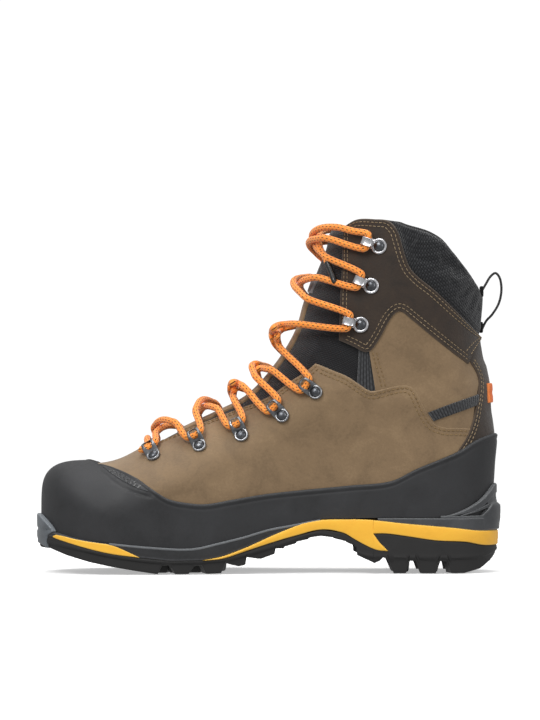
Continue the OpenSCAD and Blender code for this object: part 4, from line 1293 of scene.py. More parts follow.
@dataclass
class Band:
    """A moulded band round the sole's edge.

    Attributes:
        low: lower line, as a function of x.
        high: upper line.
        x0: lowest x.
        x1: highest x.
        out: how proud its face is of the sole's edge.
        depth: how far it reaches inward.
        bevel: radius of its edges.
        corners: x values of corners in its lines.
        relief: extra offset of its face, from x, z and height as a share.
        rows: how many rows its face has.
    """

    low: Callable[[Array], Array]
    high: Callable[[Array], Array]
    x0: float = -200.0
    x1: float = 200.0
    out: float = 0.0
    depth: float = 8.0
    bevel: float = 0.7
    corners: Sequence[float] = ()
    relief: Optional[Callable[[Array, Array, Array], Array]] = None
    rows: int = 5

    def into(self, form: Form) -> None:
        """Adds the band to a form."""
        for p, n in WELT.stretch(self.x0, self.x1, self.corners):
            lo, hi = self.low(p[:, 0]), self.high(p[:, 0])
            hi = np.maximum(hi, lo + 0.02)
            r = np.minimum(self.bevel, (hi - lo) * 0.45)
            turn = np.linspace(0, math.pi / 2, 4)
            o = [np.full_like(lo, -self.depth)]
            z = [lo]
            for a in turn:
                o.append(-r * (1 - math.sin(a)))
                z.append(lo + r * (1 - math.cos(a)))
            for v in np.linspace(0, 1, self.rows + 2)[1:-1]:
                o.append(np.zeros_like(lo))
                z.append(lo + r + (hi - lo - 2 * r) * v)
            for a in turn[::-1]:
                o.append(-r * (1 - math.sin(a)))
                z.append(hi - r * (1 - math.cos(a)))
            o.append(np.full_like(lo, -self.depth))
            z.append(hi)
            o, z = np.stack(o, -1), np.stack(z, -1)
            share = (z - lo[:, None]) / (hi - lo)[:, None]
            x = np.broadcast_to(p[:, :1], z.shape)
            face = np.ones(z.shape)
            face[:, 0] = face[:, -1] = 0
            o = o + self.out * face
            if self.relief is not None:
                o = o + self.relief(x, z, share) * face
            ring = np.stack([p[:, :1] + n[:, :1] * o, p[:, 1:] + n[:, 1:] * o, z], -1)
            edge = np.minimum(z - lo[:, None], hi[:, None] - z)
            whole = len(p) > 3 and np.linalg.norm(p[0] - p[-1]) < 2.5 and self.x0 < -160 and self.x1 > 160
            if whole:
                ring, edge = np.concatenate([ring, ring[:1]]), np.concatenate([edge, edge[:1]])
            form.grid(ring, edge=edge, around=True, caps=not whole)


@dataclass
class Sole:
    """The lugged rubber outsole, the two foams, the toe bumper and the heel clip."""

    lug_depth: float = 17.0
    proud: float = 0.5
    chevrons: Sequence[float] = (-124, -108, -92, -79, -67, -56, -45, -34)
    heel_rows: Sequence[float] = (84, 103, 123)

    def lugs(self) -> None:
        """The outsole's rim with its lugs, the plate behind it and the blocks under it."""
        form = Form()
        root = soft(ROOT)
        tread, top = straight(TREAD_LINE), straight(BLACK_TOP)

        def step(x: Array, z: Array, share: Array) -> Array:
            """The lugs stand back under the rim, with slanting faces."""
            below = smooth((root(x) - z) / 0.9)
            return -below * (0.9 + 0.09 * np.maximum(0, root(x) - z)) + 0.25 * bell(z - root(x), 1.0, 0.7)

        knots = [k for k, _ in TREAD_LINE if -150 < k < 150] + [67.2, 67.35]
        Band(tread, top, depth=self.lug_depth, bevel=1.1, corners=knots, relief=step, rows=16).into(form)
        self.plate(form)
        self.blocks(form)
        place(form.make("tread_and_lugs", TREAD, sharp=34), Rides.FOOT, ["outsole"])

    def plate(self, form: Form) -> None:
        """The underside between the lugs, and the body of the sole above it."""
        x = np.linspace(LAST.toe_x + 3, WELT.heel_x - 3, 90)
        y = np.linspace(-1, 1, 13)
        half = np.maximum(WELT.half(x, WELT.ledge) - 7.0, 1.0)
        bend = curve(LAST.bend, x)
        across = bend[:, None] + half[:, None] * y
        low = np.maximum(curve(ROOT, x), straight(TREAD_LINE)(x) + 0.4)[:, None] + 0.5 * (1 - y**2)
        high = (curve(LAST.bed, x) - 0.4)[:, None] + 0 * y
        low = np.minimum(low, high - 1)
        wide = np.broadcast_to(x[:, None], across.shape)
        slab(form, np.stack([wide, across, high], -1), np.stack([wide, across, low], -1))

    def blocks(self, form: Form) -> None:
        """Chevrons under the ball and pads under the heel, on both sides of the middle groove."""
        for x0 in tuple(self.chevrons) + tuple(self.heel_rows):
            for s in (-1, 1):
                reach = float(WELT.half(np.array(x0), WELT.ledge)) - self.lug_depth - 3.5
                bend = float(curve(LAST.bend, np.array([x0]))[0])
                if reach < 10:
                    continue
                u = np.linspace(0, 1, 5)
                y = bend + s * (5.5 + (reach - 5.5) * u)
                lean = -5.0 * u if x0 < 0 else 2.0 * u
                rings = []
                for inset, v in ((1.2, 0.0), (0.4, 0.06), (0.0, 0.2), (-0.8, 1.0)):
                    front, back = x0 - 5 + inset + lean, x0 + 5 - inset + lean
                    side = np.concatenate([np.stack([front, y], -1), np.stack([back, y], -1)[::-1]])
                    side[:, 1] += np.where(np.isin(np.arange(10), (0, 9)), s * inset, 0)
                    side[:, 1] -= np.where(np.isin(np.arange(10), (4, 5)), s * inset, 0)
                    ground = max(0.0, float(straight(((-150, 18), (-86, 2.4), (-72, 0), (150, 0)))(x0)))
                    z = ground + v * (float(curve(ROOT, np.array([x0]))[0]) + 1.2 - ground)
                    rings.append(np.concatenate([side, np.full((10, 1), z)], 1))
                form.grid(np.array(rings), around=True, caps=True, edge=2.0)

    def foams(self) -> None:
        """The dark midsole of the forefoot, the pale welt line over it and the yellow foam."""
        form = Form()
        bed = soft(LAST.bed)
        under = straight(((-156, 24.4),) + INSERT_LOW + ((-64, 8.6),) + FOAM_TOP[:6])
        Band(under, lambda x: bed(x) - 0.2, x1=31.0, out=0.1, bevel=0.6,
             relief=lambda x, z, v: -0.25 * bell(z - under(x), 1.2, 0.6)).into(form)
        place(form.make("midsole_front", MIDSOLE), Rides.FOOT, ["midsole_forefoot"])
        form = Form()
        Band(lambda x: bed(x) - 1.1, lambda x: bed(x) + 0.25, x0=-104, x1=33, out=0.45, bevel=0.45, depth=3.0,
             rows=1).into(form)
        place(form.make("welt_line", WELT_GREY), Rides.FOOT)
        form = Form()
        Band(soft(INSERT_LOW), lambda x: np.minimum(curve(INSERT_TOP, x), bed(x) - 0.5), x0=-141, x1=-84.4,
             out=self.proud, bevel=0.6).into(form)
        place(form.make("toe_foam", YELLOW), Rides.FOOT, ["midsole_toe_insert"])
        form = Form()

        def upper(x: Array) -> Array:
            """Top of the arch foam: the clip above it, then the notch."""
            return np.where(x < 67.2, np.minimum(curve(FOAM_TOP, x), bed(x) - 0.3), straight(NOTCH)(x))

        Band(soft(FOAM_ARCH), upper, x0=-43.6, x1=76.8, out=self.proud, bevel=0.6, corners=(67.15, 67.3),
             relief=lambda x, z, v: 0.5 * bell(v, 0.6, 0.5)).into(form)
        Band(soft(FOAM_HEEL), lambda x: curve(FOAM_TOP, x) - 0.1, x0=67.2, out=self.proud, bevel=0.6,
             relief=lambda x, z, v: 0.5 * bell(v, 0.6, 0.5) * smooth((x - 67.2) / 8)
             + 0.5 * bell(z, 30.0, 4.5) * smooth((75.2 - x) / 8)).into(form)
        place(form.make("arch_foam", YELLOW), Rides.FOOT, ["midsole_arch_heel"])

    def clips(self) -> None:
        """The toe bumper, and the heel clip with its fins and its ledge."""
        form = Form()
        low = straight(((-160, 20.5), (-150, 18.4), (-145.5, 16.2), (-145.3, 24.6), (-141.3, 27.2)))
        high = straight(((-160, 41), (-150.5, 37.4), (-144, 31.2), (-141.3, 27.6)))
        Band(low, high, x1=-141.3, out=0.8, depth=2.6, bevel=0.9, corners=(-145.5, -145.3), rows=9,
             relief=lambda x, z, v: -0.7 * bell(z, 28.4, 0.9) - 0.5 * smooth((24 - z) / 3)).into(form)
        place(form.make("toe_clip", BUMPER), Rides.FOOT, ["toe_bumper"])
        form = Form()
        bed = soft(LAST.bed)
        Band(lambda x: curve(FOAM_TOP, x) - 0.2, lambda x: bed(x) - 0.1, x0=70.0, out=0.25,
             bevel=0.6).into(form)
        spike = (((112, 36.3), (124, 38.2), (134, 41), (141, 44.5), (148, 51.5)),
                 ((112, 36.6), (120, 38.8), (127, 41.2), (134, 44.6), (140, 48.5), (145, 53.5), (148, 57.5)))
        fin = (((124, 37.2), (134, 39.4), (142, 42.0), (150, 44.6)),
               ((124, 37.6), (134, 41.0), (142, 44.4), (150, 47.4)))
        for lower, upper in (spike, fin):
            Band(soft(lower), soft(upper), x0=lower[0][0], out=0.1, depth=2.6, bevel=0.7).into(form)
        Band(lambda x: 0 * x + 35.6, lambda x: 0 * x + 37.4, x0=111, out=0.1, depth=2.6, bevel=0.5).into(form)
        back = soft(((139, 41.0), (143.6, 50.5), (145, 53.5), (149.6, 58.0)))
        Band(lambda x: 0 * x + 35.6, back, x0=142.4, out=-0.15, depth=2.4, bevel=0.8,
             relief=lambda x, z, v: -0.6 * bell(z, 49.4, 1.1)).into(form)
        ledge = soft(((138, 36.6), (142, 40.5), (145.4, 45.2), (152, 45.8)))
        Band(lambda x: curve(FOAM_TOP, x) + 0.4, ledge, x0=138.4, depth=2.4, bevel=0.9, rows=12,
             relief=lambda x, z, v: smooth((x - 138) / 10.5) * (2.5 - 2.2 * smooth((z - 43.2) / 2.6)
                                                                - 0.7 * smooth((36 - z) / 6))).into(form)
        place(form.make("heel_clip", CLIP), Rides.FOOT, ["heel_frame"])

    def inside(self) -> None:
        """Finishes of the parts that lie in the sole cup."""
        for node, material in (("shank", STEEL), ("lasting_board", BOARD), ("footbed", FELT),
                               ("toe_puff", STIFF), ("heel_counter", STIFF)):
            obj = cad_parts[node]
            obj.data.materials.clear()
            obj.data.materials.append(material)

    def build(self) -> None:
        """Builds the whole sole."""
        self.lugs()
        self.foams()
        self.clips()
        self.inside()


# ---------------------------------------------------------------- upper

RAND_TOP: Knots = ((-122, 72), (-112, 69.2), (-102.4, 67.2), (-86.5, 61.6), (-76.8, 55.2), (-66.5, 49.0),
                   (-56.8, 46.6), (-42.4, 45.3), (-25, 48), (-3.6, 51.5), (19.3, 54), (52.8, 57.2),
                   (78.8, 60), (95.6, 68), (111.5, 74.5), (123.6, 80), (134, 86.5), (149, 92))
THROAT: Knots = ((-76, 84.6), (-68, 87.6), (-52, 95), (-36, 101.5), (-20, 107.6), (-1, 115.5), (15, 126.5),
                 (22.8, 131.4), (29.3, 137.2), (29.3, 137.2), (40, 132.6), (50, 128.4), (58, 123.2),
                 (65.2, 118.8),
                 (71.6, 119.7), (78, 121.4), (86, 122.8), (92.4, 121.6), (96.5, 116), (100.4, 107.3),
                 (106, 98.5), (113, 95.4), (122, 95), (134, 94.4))
CUFF_LOW: Knots = ((45, 151.7), (53.9, 147.8), (61.0, 144.2), (65.5, 145), (71.3, 153.0), (77, 163.6),
                   (81, 168.9), (85, 170.5), (90.7, 166.4), (105, 154.6), (119.7, 143), (129.4, 136.2))
CUFF_TOP: Knots = ((48, 226), (57, 230.8), (69, 230.6), (77, 229.4), (82.5, 223.6), (85, 216.6), (87.4, 208),
                   (90.9, 199), (97, 192.3), (108, 183.6), (124, 168.2), (132, 160.4), (139, 153.4))
COLLAR_LOW: Knots = ((78, 226.4), (81.4, 221), (83.6, 214), (85.4, 206.4), (89, 197.6), (95.4, 190.4),
                     (106, 181.6), (122, 166.4), (132, 157.2), (138.2, 151.6))
COLLAR_RIM: Knots = ((80, 229.6), (88, 226.2), (99, 223), (106, 220.4), (113, 216.4), (119, 210.4),
                     (125, 203.2), (131, 195.4), (136, 187.5), (138.5, 184))
QUARTER_LOW: Knots = ((68.6, 117), (79, 116), (88, 115), (94, 108), (99, 99), (104, 92), (114, 89), (131, 88))
QUARTER_FRONT: Knots = ((70.6, 117), (70.0, 122), (67.8, 131), (65.0, 140), (63.6, 148))
QUARTER_TOP: Knots = ((63.6, 148), (69, 152), (74.8, 160), (80, 170), (86, 173.6), (94, 168), (107, 157),
                      (122, 146), (138, 135))
STAY_EDGE: Knots = ((62, 112), (80, 122.6), (88, 128), (96, 131.4), (107.3, 134.4), (118, 136.6),
                    (126, 136.8), (132, 134.6), (138, 130.6), (144, 128.0), (153.4, 129.6))
TAN_STITCH = Thread(pitch=3.0, length=2.2, width=0.75, height=0.42)
BROWN_STITCH = Thread(pitch=2.9, length=2.2, width=0.62, height=0.42)


def steps(p: Array, far: Array) -> Array:
    """The grooves that two rows of stitches press into leather near its edge."""
    return -0.22 * bell(far, 2.3, 0.9) - 0.22 * bell(far, 4.8, 0.9) + 0.15 * bell(far, 3.5, 0.7)


def shaft_angle(s: Array) -> Array:
    """The angle where the tongue's edge lies, at each station."""
    knots = ((-80, 25), (-49, 36), (-25, 43), (-9, 54), (10, 60), (149, 49), (157, 52), (165, 57),
             (177, 61), (188, 61), (230, 56))
    s = np.asarray(s, float)
    return curve(knots, np.where(s < 60, s, np.maximum(149, s)))


@dataclass
class FootUpper:
    """The nubuck vamp with its seams, the rubber rand round it and the rand's toe inset."""

    rows: Sequence[float] = (2.3, 4.8)
    rand_out: float = 2.5
    dots: Sequence[int] = (9, 8, 6)

    def vamp(self) -> None:
        """The vamp and quarters, in one hide, over the forefoot and back to the heel."""
        toe = LAST.toe_x + (-76 - LAST.toe_x) * (1 - np.cos(np.linspace(0, math.pi / 2, 90)[:-1]))
        high = np.concatenate([np.stack([toe, LAST.ridge_z(toe)], -1), spline(THROAT, 260)])
        low_x = np.concatenate([toe, np.linspace(-76, 136, 260)])
        form = Form()
        Sheet(LAST.bed_at(low_x, 4.0), high, 0.0, -2.0, Rim.HIGH, Rim.FIRST, ridge_until=-76, roll=1.3,
              step=2.6, shape=steps).into(form)
        place(form.make("vamp_hide", NUBUCK), Rides.FOOT, ["vamp"])
        thread = Form()
        edge = spline(THROAT[:9], 240)
        for inset in self.rows:
            TAN_STITCH.row(thread, edge, -inset, 0.0)
        side = spline(THROAT[9:], 300)
        for inset in self.rows:
            TAN_STITCH.row(thread, side, -inset, 0.0, span=(0.03, 0.975))
        place(thread.make("vamp_stitches", TAN_THREAD), Rides.FOOT)

    def rand(self) -> None:
        """The rubber rand, with a rounded lip and a groove under it."""
        x = LAST.toe_x + (145 - LAST.toe_x) * (1 - np.cos(np.linspace(0, math.pi, 420))) / 2
        top = np.where(x < -121, LAST.ridge_z(x), np.minimum(LAST.ridge_z(x), curve(RAND_TOP, x)))

        def lip(p: Array, far: Array) -> Array:
            """A bead along the top edge, a groove under it, and the outline of the toe inset."""
            out = 0.35 * bell(far, 1.5, 1.1) - 0.3 * bell(far, 3.4, 0.7)
            d = self.inset_gap(p)
            groove = bell(d, 2.6, 0.7) * smooth((-p[..., 0] - 66) / 8) * (d < 8)
            return out - 0.75 * groove

        form = Form()
        Sheet(LAST.bed_at(x, 0.2), np.stack([x, top], -1), self.rand_out, 0.5, Rim.HIGH,
              Rim.FIRST | Rim.LAST, ridge_until=-121, roll=1.3, step=1.7, shape=lip).into(form)
        place(form.make("rand_rubber", RAND, sharp=60), Rides.FOOT, ["rand"])

    @staticmethod
    def inset_gap(p: Array) -> Array:
        """Distance from the toe inset's outline, 0 inside it."""
        lens = spline(((-109.5, 67.2), (-99, 64.6), (-88.5, 59.6), (-78.2, 52.4), (-78.2, 52.4), (-88, 55),
                       (-98.4, 59.6), (-109.5, 67.2)), 60)
        gap = np.full(p.shape[:-1], 99.0)
        for q in lens:
            gap = np.minimum(gap, np.hypot(p[..., 0] - q[0], p[..., 1] - q[1]))
        middle = np.interp(p[..., 0], (-109.5, -99, -88.5, -78.2), (67.2, 62.2, 57.3, 52.4))
        half = np.interp(p[..., 0], (-109.5, -99, -88.5, -78.2), (0, 2.5, 2.4, 0))
        return np.where(np.abs(p[..., 1] - middle) < half, 0.0, gap)

    def inset(self) -> None:
        """The lens at the toe's side, with its small dimples."""
        low = spline(((-109, 66.8), (-98.4, 60.2), (-88, 55.4), (-78.6, 52.6)), 200)
        high = spline(((-109, 67.4), (-99, 64.4), (-88.5, 59.4), (-78.4, 53.2)), 200)
        form = Form()
        Sheet(low, high, self.rand_out + 0.5, self.rand_out - 0.6, roll=0.6, step=1.6).into(form)
        place(form.make("rand_inset", RAND), Rides.FOOT, ["rand_toe_inset"])
        dots = Form()
        for k, count in enumerate(self.dots):
            for j in range(count):
                t = (j + 0.6 + 0.25 * k) / (count + 0.6) * 0.74 + 0.14
                u = (0.24, 0.52, 0.8)[k]
                p = lerp(low[int(t * 199)], high[int(t * 199)], u)
                for side in (-1, 1):
                    spot = Spot.at(p, side, self.rand_out + 0.42, np.array([0.4, 0.9]))
                    revolve(dots, spot.put, ((0, 0), (0.8, 0), (0.8, 0.16), (0.45, 0.1), (0, 0.08)), 10)
        place(dots.make("inset_dimples", AGLET), Rides.FOOT)

    def build(self) -> None:
        """Builds all three."""
        self.vamp()
        self.rand()
        self.inset()


@dataclass
class Heel:
    """What folds behind the ankle: tan quarter, brown stay, ribbed strap and black gusset."""

    stay_out: float = 0.9

    def quarter(self) -> None:
        """The tan rear quarter, tucked under the vamp and the cuff."""
        front = spline(QUARTER_FRONT, 60)
        low = spline(QUARTER_LOW, 260)
        high = spline(QUARTER_TOP, 260)
        low[0], high[0] = front[0], front[-1]
        form = Form()
        Sheet(low, high, -0.35, -2.0, Rim.FIRST, roll=1.2, step=2.4, shape=steps).into(form)
        place(form.make("rear_quarter_hide", NUBUCK), Rides.FOLDING, ["rear_quarter"])
        thread = Form()
        line = spline(((70.4, 118), (70.2, 122), (67.9, 131), (65.3, 140), (64.4, 145)), 120)
        for inset in (2.3, 4.8):
            TAN_STITCH.row(thread, line, -inset, -0.4, span=(0.05, 0.97))
        place(thread.make("quarter_stitches", TAN_THREAD), Rides.FOLDING)

    def stay(self) -> None:
        """The brown stay down the heel's middle, with two rows of stitches along each edge."""
        z = np.concatenate([[62, 63], np.linspace(64.5, 151, 44), [152.0, 152.7, 153.2, 153.4]])
        u = np.array([0, 0.015, 0.04, 0.08, 0.13, 0.2, 0.3, 0.42, 0.55, 0.7, 0.85, 1.0])
        u = np.concatenate([-1 + u, (1 - u)[::-1][1:]])
        edge, back = curve(STAY_EDGE, z)[:, None], LAST.back_x(z)[:, None]
        x = back - (back - edge) * (1 - np.cos(np.radians(90) * np.abs(u)))
        p = np.stack([x, np.broadcast_to(z[:, None], x.shape)], -1)
        side = np.broadcast_to(np.sign(u), x.shape)
        flat, _ = LAST.skin(p, side, 0)
        run = lengths_across(flat)
        far = np.minimum(np.minimum(run, run[:, -1:] - run), (z[-1] - z)[:, None])
        out = self.stay_out + rolled(far, 1.1) + steps(p, far) - 0.9 * smooth((z[:, None] - 134) / 6)
        form = Form()
        top, _ = LAST.skin(p, side, out)
        bottom, _ = LAST.skin(p, side, -1.5)
        slab(form, top, bottom, edge=far)
        place(form.make("heel_stay_hide", BROWN), Rides.FOLDING, ["heel_stay"])
        thread = Form()
        line = np.stack([curve(STAY_EDGE, z), z], -1)[1:-10]
        for inset in (2.0, 4.2):
            BROWN_STITCH.row(thread, line, -inset, self.stay_out - 0.1, span=(0.2, 0.99))
        place(thread.make("stay_stitches", BEIGE_THREAD), Rides.FOLDING)

    def tab(self) -> None:
        """The orange tab over the stay."""
        z = np.concatenate([[110.8, 111.0, 111.6], np.linspace(112.5, 121.8, 8), [122.7, 123.3, 123.5]])
        u = np.concatenate([[-1, -0.97, -0.9], np.linspace(-0.8, 0.8, 11), [0.9, 0.97, 1]])
        back = LAST.back_x(z)[:, None]
        x = back - 2.6 * u**2
        p = np.stack([x, np.broadcast_to(z[:, None], x.shape)], -1)
        side = np.broadcast_to(np.sign(u), x.shape)
        far = np.minimum(np.minimum(z - z[0], z[-1] - z)[:, None], (1 - np.abs(u)) * 9)
        waist = 0.5 * bell(z, 117.2, 1.4)[:, None]
        top, _ = LAST.skin(p, side, self.stay_out + 1.5 + rolled(far, 0.7) - waist)
        bottom, _ = LAST.skin(p, side, self.stay_out - 0.4)
        form = Form()
        slab(form, top, bottom, edge=far)
        place(form.make("heel_pull_tab", ORANGE), Rides.CUFF, ["heel_tab"])

    def strap(self) -> None:
        """The ribbed strap from the seam's corner to the stay."""
        form = Form()
        low = spline(((106.6, 99.0), (120, 103.8), (137.2, 109.8)), 200)
        high = spline(((102.6, 104.6), (118.6, 110.6), (137.6, 116.8)), 200)
        Sheet(low, high, 0.75, -0.5, Rim.LOW | Rim.HIGH | Rim.FIRST, roll=0.7, step=1.4).into(form)
        place(form.make("ankle_strap", WEBBING), Rides.FOLDING, ["side_strap"])

    def gusset(self) -> None:
        """The black stretch gusset and the ribbed tape on it."""
        form = Form()
        low = spline(((22, 134), (34, 131), (44, 127), (52, 122.6), (60, 117.6), (67, 115.0), (74, 116)), 200)
        high = spline(((36, 164), (47, 158), (55, 153), (61.6, 149.4), (66.6, 148.6), (71, 146),
                       (76, 143)), 200)

        def folds(p: Array, far: Array) -> Array:
            """Soft gathers where it bends."""
            k = (p[..., 0] - 48) * 0.55 + (p[..., 1] - 138) * 0.83
            return 0.45 * np.sin(k / 1.9) * smooth((15 - np.abs(k)) / 8)

        Sheet(low, high, -2.2, -3.0, Rim.NONE, step=1.3, shape=folds).into(form)
        place(form.make("flex_gusset", STRETCH), Rides.FOLDING, ["ankle_gusset"])
        form = Form()
        low = spline(((56.4, 119), (62, 117), (71.6, 116.0)), 120)
        high = spline(((57.6, 147), (62.4, 147), (66.8, 142.4)), 120)
        Sheet(low, high, -1.3, -2.4, Rim.FIRST, roll=0.6, step=1.3).into(form)
        place(form.make("gusset_tape", WEBBING), Rides.FOLDING, ["gusset_webbing"])

    def build(self) -> None:
        """Builds all five."""
        self.quarter()
        self.stay()
        self.tab()
        self.strap()
        self.gusset()


@dataclass
class Inside:
    """The lining, and the tongue with its strip and its label."""

    tongue_out: float = -2.4

    def lining(self) -> None:
        """One wrap of lining from the board up to the collar's rim."""
        toe = LAST.toe_x + (-80 - LAST.toe_x) * (1 - np.cos(np.linspace(0, math.pi / 2, 60)[:-1]))
        s = np.concatenate([np.linspace(-80, 10, 60), np.linspace(149, 226, 60)])
        edge = LAST.down_from(s, shaft_angle(s) + 1)
        rim = spline([tuple(edge[-1]), (64, 229.0), (74, 229.0)] + [tuple(k) for k in COLLAR_RIM], 140)
        high = np.concatenate([np.stack([toe, LAST.ridge_z(toe)], -1), edge, rim[1:]])
        rest = high[len(toe):]
        low_x = np.concatenate([toe, -80 + 225 * (lengths(rest) / lengths(rest)[-1]) ** 0.9])
        form = Form()
        Sheet(LAST.bed_at(low_x, 2.4), high, -4.2, -6.9, Rim.HIGH, Rim.FIRST | Rim.LAST, ridge_until=-80,
              roll=1.3, step=4.0).into(form)
        place(form.make("lining_wrap", LINING), Rides.FOLDING,
              ["lining_foot", "lining_flex", "lining_cuff"])

    def ridge_piece(self, stations: Array, half: Array, outer: Array, inner: Array, roll: float
                    ) -> tuple[Array, Array, Array, Array]:
        """Grids of a band over the instep.

        Args:
            stations: places along the ridge.
            half: the band's edge angle at each.
            outer: offset of its face at each.
            inner: offset of its back.
            roll: radius of its edges.

        Returns:
            Face points, back points, map places and distances from the edge.
        """
        u = np.concatenate([[-1, -0.985, -0.95, -0.88], np.linspace(-0.78, 0.78, 19), [0.88, 0.95, 0.985, 1]])
        angle = half[:, None] * u
        s = np.broadcast_to(stations[:, None], angle.shape)
        p = LAST.down_from(s.ravel(), angle.ravel()).reshape(*angle.shape, 2)
        flat, _ = LAST.skin(p, np.sign(angle), 0, swell=False)
        across = lengths_across(flat)
        along = lengths(flat[:, flat.shape[1] // 2])
        far = np.minimum(np.minimum(across, across[:, -1:] - across),
                         np.minimum(along, along[-1] - along)[:, None])
        top, _ = LAST.skin(p, np.sign(angle), outer[:, None] + rolled(far, roll), swell=False)
        bottom, _ = LAST.skin(p, np.sign(angle), inner[:, None] + 0 * angle, swell=False)
        mid = across - across[:, -1:] / 2
        uv = np.stack([mid, np.broadcast_to(along[:, None], mid.shape)], -1) * MM
        return top, bottom, uv, far

    def tongue(self) -> None:
        """The padded tongue, quilted across, with its leather strip and its label."""
        s = np.concatenate([np.linspace(-80, 10, 70), np.linspace(149.3, 229.5, 70)])
        along = lengths(LAST.station(s))
        quilt = 0.35 * np.abs(np.sin(along / 9.0 * math.pi / 2))
        puff = self.tongue_out - 0.2 + quilt * smooth((s - 150) / 10)
        puff = puff + 1.3 * bell(s, 222, 5.0)
        form = Form()
        top, bottom, uv, far = self.ridge_piece(s, shaft_angle(s) - 1.0, puff, puff * 0 - 5.8, 1.6)
        slab(form, top, bottom, uv, far)
        place(form.make("tongue_pad", TONGUE), Rides.FOLDING,
              ["tongue_lower", "tongue_flex", "tongue_upper"])
        s = np.concatenate([np.linspace(-62, 10, 50), np.linspace(149.3, 180, 30)])
        form = Form()
        top, bottom, uv, far = self.ridge_piece(s, 0 * s + 15, 0 * s + self.tongue_out + 1.6,
                                                0 * s - 3.0, 0.9)
        slab(form, top, bottom, uv, far)
        place(form.make("tongue_middle_strip", STRIP), Rides.FOLDING, ["tongue_strip"])
        s = np.linspace(184, 195, 14)
        form = Form()
        top, bottom, uv, far = self.ridge_piece(s, 0 * s + 17, 0 * s + self.tongue_out + 1.5,
                                                0 * s - 2.7, 0.6)
        slab(form, top, bottom, uv, far)
        place(form.make("tongue_patch", LABEL), Rides.CUFF, ["tongue_label"])

    def build(self) -> None:
        """Builds the lining and the tongue."""
        self.lining()
        self.tongue()


